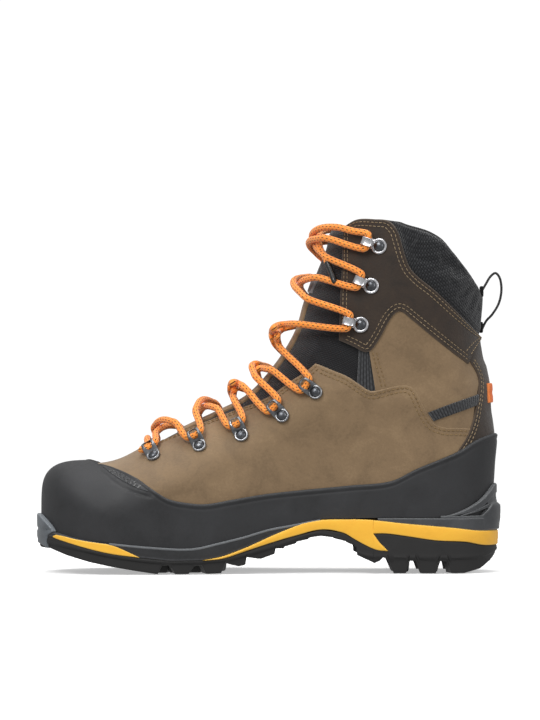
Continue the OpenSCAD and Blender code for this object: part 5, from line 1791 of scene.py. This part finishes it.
@dataclass
class Cuff:
    """The brown cuff, the padded collar, its binding and the pull loop."""

    leather_out: float = 0.9
    collar_out: float = 1.3
    pressure: float = 4.5
    settle: int = 18
    most: float = 3.4

    def leather(self) -> None:
        """The brown cuff with rolled edges and double stitches."""
        low, high = spline(CUFF_LOW, 300), spline(CUFF_TOP, 300)
        form = Form()
        Sheet(low, high, self.leather_out, -1.2, ALL_RIMS, roll=1.2, step=2.4, shape=steps).into(form)
        place(form.make("cuff_hide", BROWN), Rides.CUFF, ["cuff_leather"])
        thread = Form()
        front = straight_run(low[0], high[0], 200)
        for inset in (2.3, 4.8):
            BROWN_STITCH.row(thread, low, inset, self.leather_out - 0.1, span=(0.02, 0.985))
            BROWN_STITCH.row(thread, high, -inset, self.leather_out - 0.1, span=(0.02, 0.985))
            BROWN_STITCH.row(thread, front, -inset, self.leather_out - 0.1, span=(0.05, 0.95))
        end = straight_run(high[-1], low[-1], 60)
        for inset in (2.3, 8.0):
            BROWN_STITCH.row(thread, end, -inset, self.leather_out - 0.1, span=(0.14, 0.86))
        place(thread.make("cuff_stitches", BEIGE_THREAD), Rides.CUFF)

    def pad_grid(self) -> tuple[Array, Array, Array]:
        """The collar pad before it is filled.

        Returns:
            Points, map places, and how freely each point may move.
        """
        n, m = 64, 26
        low, high = spline(COLLAR_LOW, n), spline(COLLAR_RIM, n)
        v = np.linspace(0, 1, m)
        z = lerp(low[:, None, 1], high[:, None, 1], v)
        pull = smooth((low[:, None, 0] - 60) / 80) * (LAST.back_x(z) - lerp(
            LAST.back_x(low[:, 1])[:, None], LAST.back_x(high[:, 1])[:, None], v))
        x = lerp(low[:, None, 0], high[:, None, 0], v) + pull
        x[-1] = LAST.back_x(z[-1])
        face = np.stack([x, z], -1)
        flat, _ = LAST.skin(face, 1, 0, swell=False)
        up = lengths_across(flat)
        tuck = smooth(up / 8.0)
        crown = up[:, -1:] - up
        out = -1.6 + (self.collar_out + 1.6) * tuck - 2.6 * (1 - np.sqrt(np.clip(1 - (1 - np.minimum(
            crown / 3.2, 1)) ** 2, 0, 1)))
        sides = []
        for s in (-1, 1):
            side = np.full(x.shape, float(s))
            side[-1] = 0
            top, _ = LAST.skin(face, side, out, swell=False)
            back, _ = LAST.skin(face, side, np.minimum(out - 0.8, -4.0), swell=False)
            sides.append(np.concatenate([top, back[:, ::-1]], 1))
        whole = np.concatenate([sides[0], sides[1][::-1][1:]])
        along = lengths(whole[:, m // 2])
        around = np.concatenate([up, (up[:, -1:] + (up[:, -1:] - up[:, ::-1]))], 1)
        around = np.concatenate([around, around[::-1][1:]])
        uv = np.stack([np.broadcast_to(along[:, None], around.shape), around], -1) * MM
        free = np.concatenate([smooth((up - 4) / 8) * smooth(crown / 4), np.zeros_like(up)], 1)
        free = np.concatenate([free, free[::-1][1:]])
        ends = smooth(np.minimum(np.arange(len(free)), np.arange(len(free))[::-1]) / 4.0)
        return whole, uv, free * ends[:, None]

    def collar(self) -> None:
        """The collar pad: a closed bag of cloth that is blown up and left to wrinkle."""
        points, uv, free = self.pad_grid()
        n, m = points.shape[:2]
        faces = quads(n, m, m)
        faces += [tuple(range(m - 1, -1, -1)), tuple((n - 1) * m + j for j in range(m))]
        mesh = bpy.data.meshes.new("collar_pad")
        mesh.from_pydata((points.reshape(-1, 3) * MM).tolist(), [], faces)
        loops = np.empty(len(mesh.loops), np.int32)
        mesh.loops.foreach_get("vertex_index", loops)
        layer = mesh.uv_layers.new(name="cut")
        layer.data.foreach_set("uv", uv.reshape(-1, 2)[loops].astype(np.float32).ravel())
        mesh.attributes.new("edge", "FLOAT", "POINT").data.foreach_set(
            "value", np.full(n * m, 9.0, np.float32))
        bm = bmesh.new()
        bm.from_mesh(mesh)
        bmesh.ops.recalc_face_normals(bm, faces=bm.faces)
        bm.to_mesh(mesh)
        bm.free()
        mesh.materials.append(COLLAR)
        obj = bpy.data.objects.new("collar_pad", mesh)
        bpy.context.scene.collection.objects.link(obj)
        self.fill(obj, points.reshape(-1, 3), free.ravel())
        for poly in obj.data.polygons:
            poly.use_smooth = True
        self.refine(obj)
        place(obj, Rides.CUFF, ["collar_padding"])

    def refine(self, obj: bpy.types.Object) -> None:
        """Divides the pad once more, and keeps the result."""
        obj.modifiers.new("fine", "SUBSURF").levels = 1
        graph = bpy.context.evaluated_depsgraph_get()
        obj.data = bpy.data.meshes.new_from_object(obj.evaluated_get(graph), depsgraph=graph)
        obj.modifiers.clear()

    def fill(self, obj: bpy.types.Object, rest: Array, free: Array) -> None:
        """Blows the pad up with a cloth simulation.

        Args:
            obj: the pad.
            rest: its points before, in mm.
            free: 1 where it may move, 0 where it is sewn.
        """
        scene = bpy.context.scene
        group = obj.vertex_groups.new(name="sewn")
        for k, w in enumerate(free):
            group.add([k], float(1 - w), "REPLACE")
        cloth = obj.modifiers.new("filling", "CLOTH")
        s = cloth.settings
        s.quality, s.mass, s.air_damping = 8, 0.15, 3.0
        s.tension_stiffness, s.compression_stiffness, s.shear_stiffness = 25, 12, 12
        s.bending_stiffness = 0.6
        s.use_pressure, s.uniform_pressure_force = True, self.pressure
        s.vertex_group_mass = "sewn"
        s.pin_stiffness = 1.0
        s.effector_weights.gravity = 0.0
        s.shrink_min = -0.06
        cloth.collision_settings.use_collision = False
        cloth.point_cache.frame_start, cloth.point_cache.frame_end = 1, self.settle
        for f in range(1, self.settle + 1):
            scene.frame_set(f)
        graph = bpy.context.evaluated_depsgraph_get()
        done = obj.evaluated_get(graph).to_mesh()
        now = np.array([v.co for v in done.vertices]) / MM
        obj.evaluated_get(graph).to_mesh_clear()
        obj.modifiers.clear()
        scene.frame_set(1)
        move = (now - rest) * free[:, None]
        size = np.linalg.norm(move, axis=-1, keepdims=True)
        soft_size = self.most * np.tanh(size / self.most)
        final = rest + move * np.where(size > 1e-9, soft_size / np.maximum(size, 1e-9), 0)
        log.info("collar filled: mean %.2f mm, most %.2f mm", float(soft_size.mean()), float(soft_size.max()))
        obj.data.vertices.foreach_set("co", (final * MM).astype(np.float32).ravel())
        obj.data.update()
        obj.vertex_groups.clear()

    def binding(self) -> None:
        """The tape bound over the lining's rim."""
        half = np.concatenate([spline(((50, 227.4), (60, 229.6), (70, 229.8), (80, 228.4)), 60),
                               spline(COLLAR_RIM, 140)[8:]])
        inner, _ = LAST.skin(half, -1, -4.4, swell=False)
        outer, _ = LAST.skin(half[::-1], 1, -4.4, swell=False)
        line = resample(np.concatenate([inner[:-1], outer]) + np.array([-0.4, 0, -0.4]), 220)
        form = Form()
        form.tube(line, np.tile([0.25, 0.0, 1.0], (220, 1)), 2.0, sides=14, flat=0.9)
        place(form.make("collar_tape", BLACK_TAPE), Rides.CUFF, ["collar_binding"])

    def loop(self) -> None:
        """The pull loop and the two tabs that hold it."""
        path = spline(((139.6, 184.2), (142.6, 189.4), (145.6, 194.2), (149.0, 196.2), (151.9, 192.0),
                       (152.6, 184),
                       (150.8, 176), (146.6, 169.0), (142.6, 164.6), (139.6, 158.6)), 90)
        line = np.stack([path[:, 0], 0 * path[:, 0], path[:, 1]], -1)
        t = unit(np.gradient(line, axis=0))
        form = Form()
        form.tube(line, np.stack([-t[:, 2], 0 * t[:, 0], t[:, 0]], -1), 3.1, sides=20, flat=0.26)
        place(form.make("pull_webbing", BLACK_TAPE), Rides.LOOP, ["pull_loop"])
        form = Form()
        for x, z in ((138.3, 184.0), (138.0, 160.4)):
            spot = Spot(np.array([x, 0.0, z]), np.array([0.0, 1, 0]), np.array([0.0, 0, 1]),
                        np.array([1.0, 0, 0]), 0)
            block(form, spot.put, (8.6, 7.4, 2.4), 1.5, 0.9)
        place(form.make("pull_anchors", BLACK_TAPE), Rides.CUFF, ["pull_loop_anchor"])
        thread = Form()
        for z in (158.4, 162.6, 183.2, 187.2):
            c = np.array([[140.6 if z > 170 else 140.3, y, z] for y in (-2.4, 0, 2.4)])
            Thread(length=2.0, width=0.7, height=0.35).sew(
                thread, c, np.tile([0.0, 1, 0], (3, 1)), np.tile([1.0, 0, 0], (3, 1)))
        place(thread.make("anchor_stitches", BLACK_TAPE), Rides.CUFF)

    def build(self) -> None:
        """Builds the cuff from the leather in."""
        self.leather()
        self.collar()
        self.binding()
        self.loop()


# ---------------------------------------------------------------- lacing

EYELETS: Knots = ((-80, 31.5), (-53.2, 45.3), (-27.9, 49.8), (-10.4, 52.5), (3.1, 56.8))
HOOKS: Knots = ((171.9, 66.6), (201.9, 64.2), (224.2, 59.8))
HOOK_RING: Knots = ((0, 0), (5.3, 0), (5.3, 0.6), (5.0, 1.0), (4.4, 1.15), (3.8, 0.9), (3.4, 0.7), (0, 0.7))
HOOK_DOME: Knots = ((0, 0.3), (3.55, 0.3), (3.55, 0.9), (3.1, 1.6), (2.2, 2.2), (1.1, 2.5), (0, 2.6))
RING: Knots = ((0, 0), (4.7, 0), (4.7, 0.7), (4.5, 1.1), (4.0, 1.35), (3.5, 1.25), (3.2, 0.9), (0, 0.9))
DOME: Knots = ((0, 0.2), (3.45, 0.2), (3.45, 1.0), (3.2, 1.6), (2.5, 2.2), (1.4, 2.6), (0, 2.7))


@dataclass
class Hardware:
    """Eyelet plates with an arch over the lace, domed rivets and open hooks."""

    strap_half: float = 2.8
    width: float = 9.4
    window: tuple[float, float] = (5.0, 6.6)
    window_y: float = 7.4
    arch: float = 5.2
    plate_turn: float = 9.0
    plate_lift: float = 0.1
    hook_turn: float = 6.0
    hook_lift: float = 0.9
    rivet_lift: float = 0.8

    def spots(self, places: Knots, extra: float, lift: float) -> list[Spot]:
        """Local axes at the lace stations, on both sides."""
        found = []
        for s, angle in places:
            p = LAST.down_from(s, angle + extra)[0]
            _, up = LAST.near_ridge(LAST.station(np.array([s])))
            found += [Spot.at(p, side, lift, up[0]) for side in (-1, 1)]
        return found

    def plates_at(self) -> list[Spot]:
        """Local axes of the eyelet plates."""
        return self.spots(EYELETS, self.plate_turn, self.plate_lift)

    def hooks_at(self) -> list[Spot]:
        """Local axes of the hooks."""
        return self.spots(HOOKS, self.hook_turn, self.hook_lift)

    def plate(self, form: Form, spot: Spot) -> None:
        """One eyelet plate: a long plate whose top half arches over the lace, round a window."""
        count = 56
        turn = np.linspace(0, 2 * math.pi, count, endpoint=False)
        c, s = np.cos(turn), np.sin(turn)
        w = self.width / 2
        outer = np.stack([w * c, 4.2 + 4.1 * np.tanh(3 * s) + w * s], -1)
        wx, wy = self.window[0] / 2, self.window[1] / 2
        power = 2 / 3.0
        inner = np.stack([wx * np.sign(c) * np.abs(c) ** power,
                          self.window_y + wy * np.sign(s) * np.abs(s) ** power], -1)

        def height(p: Array) -> Array:
            """Height of the plate's top over the leather."""
            swell = smooth((p[..., 1] - 1.8) / 4.2) * smooth((14.0 - p[..., 1]) / 4.0)
            return 1.0 + self.arch * swell * (1 - 0.12 * (p[..., 0] / w) ** 2)

        shares = np.array([0, 0.0, 0.06, 0.2, 0.45, 0.7, 0.88, 1.0, 1.0])
        drop = np.array([1.0, 0.45, 0.1, 0, 0, 0, 0.12, 0.45, 1.0])
        ring = []
        for t, d in zip(shares, drop):
            p = lerp(outer, inner, t)
            ring.append(np.concatenate([p, (height(p) - 1.0 * d)[:, None]], 1))
        for t in (0.7, 0.35):
            p = lerp(outer, inner, t)
            ring.append(np.concatenate([p, (height(p) - 1.0)[:, None]], 1))
        ring = np.stack(ring, 1)
        ring = np.concatenate([ring, ring[:1]])
        shine = np.concatenate([np.abs(0.5 - shares) * -4 + 2.2, [9, 9]])
        edge = np.tile(shine, (count + 1, 1))
        form.grid(spot.put(ring), around=True, edge=np.maximum(edge, 0))

    def hook(self, bright: Form, dark: Form, spot: Spot) -> None:
        """One open hook: a ring rivet round a dark dome, and a strap bent back over the lace."""
        revolve(bright, spot.put, HOOK_RING, 36)
        revolve(dark, spot.put, HOOK_DOME, 30)
        block(bright, lambda q: spot.put(q + np.array([0, 6.0, 0])), (6.6, 6.0, 1.1), 1.2, 0.35)
        line = spline(((4.0, 1.0), (8.0, 1.05), (10.0, 1.9), (10.9, 3.7), (10.2, 5.6), (8.4, 6.4), (6.0, 6.5),
                       (3.6, 6.3), (2.7, 6.7)), 60)
        t = unit(np.gradient(line, axis=0))
        n = np.stack([-t[:, 1], t[:, 0]], -1)
        u = np.array([-1, -0.97, -0.88, -0.7, -0.5, 0, 0.5, 0.7, 0.88, 0.97, 1])
        far = (1 - np.abs(u)) * self.strap_half
        half = self.strap_half * (1 - 0.25 * bell(lengths(line), lengths(line)[-1], 1.6))
        skins = []
        for lift in (0.55 + rolled(far, 0.35) + 0.25 * bell(far, 0.5, 0.4), -0.45 - rolled(far, 0.35)):
            p = line[:, None] - n[:, None] * lift[None, :, None]
            skins.append(spot.put(np.stack([np.outer(half, u), p[..., 0], p[..., 1]], -1)))
        slab(bright, skins[0], skins[1], edge=np.broadcast_to(far, skins[0].shape[:2]))

    def build(self) -> None:
        """Builds every plate, rivet and hook."""
        lower, lock = Form(), Form()
        spots = self.plates_at()
        for k, spot in enumerate(spots):
            self.plate(lower if k < len(spots) - 2 else lock, spot)
        place(lower.make("eyelet_plates", GUNMETAL), Rides.FOOT, ["eyelet_loops"])
        place(lock.make("lock_plates", GUNMETAL), Rides.FOOT, ["lock_hooks"])
        rings, domes = Form(), Form()
        up = np.array([0, 0, self.rivet_lift])
        for spot in spots:
            revolve(rings, lambda q, a=spot: a.put(q + up), RING, 36)
            revolve(domes, lambda q, a=spot: a.put(q + up), DOME, 30)
        place(rings.make("eyelet_rings", GUNMETAL_BRIGHT), Rides.FOOT, ["eyelet_rivets"])
        place(domes.make("eyelet_domes", DARK_DOME), Rides.FOOT)
        bright, dark = Form(), Form()
        for spot in self.hooks_at():
            self.hook(bright, dark, spot)
        place(bright.make("hook_wires", NICKEL), Rides.CUFF, ["speed_hooks"])
        place(dark.make("hook_domes", DARK_DOME), Rides.CUFF, ["hook_rivets"])


@dataclass
class Lace:
    """The round lace: one cord from tip to tip, crossing over the tongue."""

    thick: float = 4.5
    rest: float = 3.7
    hump: float = 1.2
    tip: float = 16.0

    def crossing(self, a: tuple[float, float], b: tuple[float, float], side: int, over: float,
                 shares: Array) -> Array:
        """Points of one crossing over the instep.

        Args:
            a: station and angle where it starts.
            b: where it ends, on the other side.
            side: the side it ends on.
            over: extra height in the middle.
            shares: places along it, 0 to 1.

        Returns:
            Points in mm.
        """
        start, end = LAST.station(np.array([a[0]]))[0], LAST.station(np.array([b[0]]))[0]
        p = start + (end - start) * shares[:, None]
        far, normal = LAST.near_ridge(p)
        base = p + normal * far[:, None]
        turn = side * (-a[1] + (a[1] + b[1]) * shares)
        drop = LAST.top_round(base[:, 1]) * (1 - np.cos(np.radians(turn)))
        lift = self.rest + (self.hump + over) * np.sin(math.pi * shares)
        q, _ = LAST.skin(base - normal * drop[:, None], np.sign(turn), lift, swell=False)
        return q

    def strand(self, side: int, spots: dict[tuple[int, int], Spot]) -> Array:
        """The line of one half of the lace, from the middle of the lowest bar to its tip.

        Args:
            side: the side of its first eyelet.
            spots: local axes by station and side.

        Returns:
            Points in mm, evenly spaced.
        """
        stations = EYELETS + HOOKS
        over = 0.0 if side < 0 else self.thick + 0.3
        s0, a0 = stations[0]
        line = []
        for a in np.linspace(0, a0 - 4, 4):
            q, _ = LAST.skin(LAST.down_from(s0 + 1.0 - 1.0 * a / a0, side * a), side if a else 0,
                             self.rest - 0.2, swell=False)
            line.append(q[0])
        here = side
        for k in range(len(stations)):
            spot = spots[(k, here)]
            back = 1.0 if here > 0 else -1.0
            if k < len(EYELETS):
                way = ((5.4, 9.4, 2.9), (0.0, 7.6, 2.5), (-5.4, 9.8, 2.9))
            else:
                way = ((5.0, 8.6, 3.4), (0.0, 7.9, 3.4), (-5.0, 8.9, 3.4))
            line += [spot.put(np.array([back * x, y, z])) for x, y, z in way]
            if k + 1 < len(stations):
                shares = np.linspace(0, 1, 13)[3:-3]
                line += list(self.crossing(stations[k], stations[k + 1], -here, over, shares))
                here = -here
        for s, a, lift in ((227.5, 46, 0.8), (227.0, 32, 1.2), (223.5, 15, 1.4), (218.0, -2, 1.4),
                           (211.5, -18, 1.0), (206.5, -30, 0.4), (204.0, -34, 0.2)):
            more = (self.thick if side > 0 else 0.0) * bell(a, 0, 26)
            q, _ = LAST.skin(LAST.down_from(s, a), here * np.sign(a), self.rest + lift + more, swell=False)
            line.append(q[0])
        return resample(_soft_run(np.array(line), 16), 1500)

    def build(self) -> None:
        """Builds both halves of the lace and its tips."""
        metal = Hardware()
        spots = {}
        for k, spot in enumerate(metal.plates_at() + metal.hooks_at()):
            spots[(k // 2, spot.side)] = spot
        total = 0.0
        tips = Form()
        for side, name in ((-1, "lace_inner_start"), (1, "lace_outer_start")):
            line = self.strand(side, spots)
            size = lengths(line)[-1]
            total += size
            t = unit(np.gradient(line, axis=0))
            middle = np.stack([line[:, 0] + 40, 0 * line[:, 0], line[:, 2] - 60], -1)
            form = Form()
            form.tube(line, line - middle, self.thick / 2, sides=14)
            cloth = form.make(name, LACE)
            stands_for = ["lace_lower", "lace_flex", "lace_upper"] if side < 0 else []
            place(cloth, Rides.FOLDING, stands_for)
            end = line[-1] + t[-1] * np.linspace(-1.5, self.tip, 12)[:, None]
            radius = np.array([2.28, 2.34, 2.2] + [2.1] * 6 + [2.05, 1.9, 1.2])
            tips.tube(end, end - middle[-1], radius, sides=14)
        log.info("lace: %.2f m between the tips", total * MM)
        place(tips.make("lace_tips", AGLET), Rides.CUFF, ["aglets"])


# ---------------------------------------------------------------- stage


@dataclass
class Stage:
    """A pale floor, a soft light from above and one from the left, and the camera."""

    view_height: float = 0.475
    focal: float = 220.0
    aim_z: float = 0.1389

    def floor(self) -> None:
        """The floor, and the bright wall far behind."""
        white = bpy.data.materials.new("paper")
        white.use_nodes = True
        paper = white.node_tree.nodes["Principled BSDF"]
        paper.inputs["Base Color"].default_value = (0.92, 0.92, 0.92, 1)
        paper.inputs["Roughness"].default_value = 0.9
        paper.inputs["Specular IOR Level"].default_value = 0.1
        paper.inputs["Emission Color"].default_value = (1, 1, 1, 1)
        paper.inputs["Emission Strength"].default_value = 0.4
        bpy.ops.mesh.primitive_plane_add(size=1, location=(0, -1.2, -0.0004))
        ground = bpy.context.object
        ground.scale = (8, 4.6, 1)
        ground.name = "floor"
        ground.data.materials.append(white)
        ground.visible_diffuse = ground.visible_glossy = False
        glow = bpy.data.materials.new("paper_wall")
        glow.use_nodes = True
        shader = glow.node_tree.nodes["Principled BSDF"]
        shader.inputs["Base Color"].default_value = (0, 0, 0, 1)
        shader.inputs["Specular IOR Level"].default_value = 0.0
        shader.inputs["Emission Color"].default_value = (1, 1, 1, 1)
        shader.inputs["Emission Strength"].default_value = 1.05
        bpy.ops.mesh.primitive_plane_add(size=14, location=(0, 6.9, 3.0), rotation=(math.radians(90), 0, 0))
        wall = bpy.context.object
        wall.name = "wall"
        wall.data.materials.append(glow)
        wall.visible_diffuse = wall.visible_glossy = wall.visible_shadow = False

    def light(self, name: str, where: tuple[float, float, float], size: float, power: float) -> None:
        """One square soft light, aimed at the boot."""
        data = bpy.data.lights.new(name, "AREA")
        data.size, data.energy = size, power
        obj = bpy.data.objects.new(name, data)
        obj.location = where
        obj.rotation_euler = (Vector((0, 0, 0.12)) - Vector(where)).to_track_quat("-Z", "Y").to_euler()
        bpy.context.scene.collection.objects.link(obj)

    def build(self) -> None:
        """Sets the stage."""
        self.floor()
        world = bpy.data.worlds.new("studio")
        world.use_nodes = True
        world.node_tree.nodes["Background"].inputs["Color"].default_value = (1, 1, 1, 1)
        world.node_tree.nodes["Background"].inputs["Strength"].default_value = 0.52
        scene = bpy.context.scene
        scene.world = world
        scene.view_settings.view_transform = "Standard"
        self.light("key", (-0.9, -1.5, 1.7), 1.1, 30)
        self.light("fill", (1.5, -1.4, 0.9), 1.2, 9)
        self.light("top", (0.0, 0.2, 1.8), 1.2, 16)
        data = bpy.data.cameras.new("camera")
        data.lens, data.sensor_width = self.focal, 36.0
        obj = bpy.data.objects.new("camera", data)
        obj.location = (0, -self.view_height * self.focal / 36.0, self.aim_z)
        obj.rotation_euler = (math.radians(90), 0, 0)
        scene.collection.objects.link(obj)
        scene.camera = obj


def main() -> None:
    """Builds the boot piece by piece, then the stage."""
    logging.basicConfig(level=logging.INFO, format="%(message)s")
    for part in (Sole(), FootUpper(), Inside(), Heel(), Cuff(), Hardware(), Lace(), Stage()):
        log.info("building %s", type(part).__name__)
        part.build()


if __name__ == "__main__":
    main()
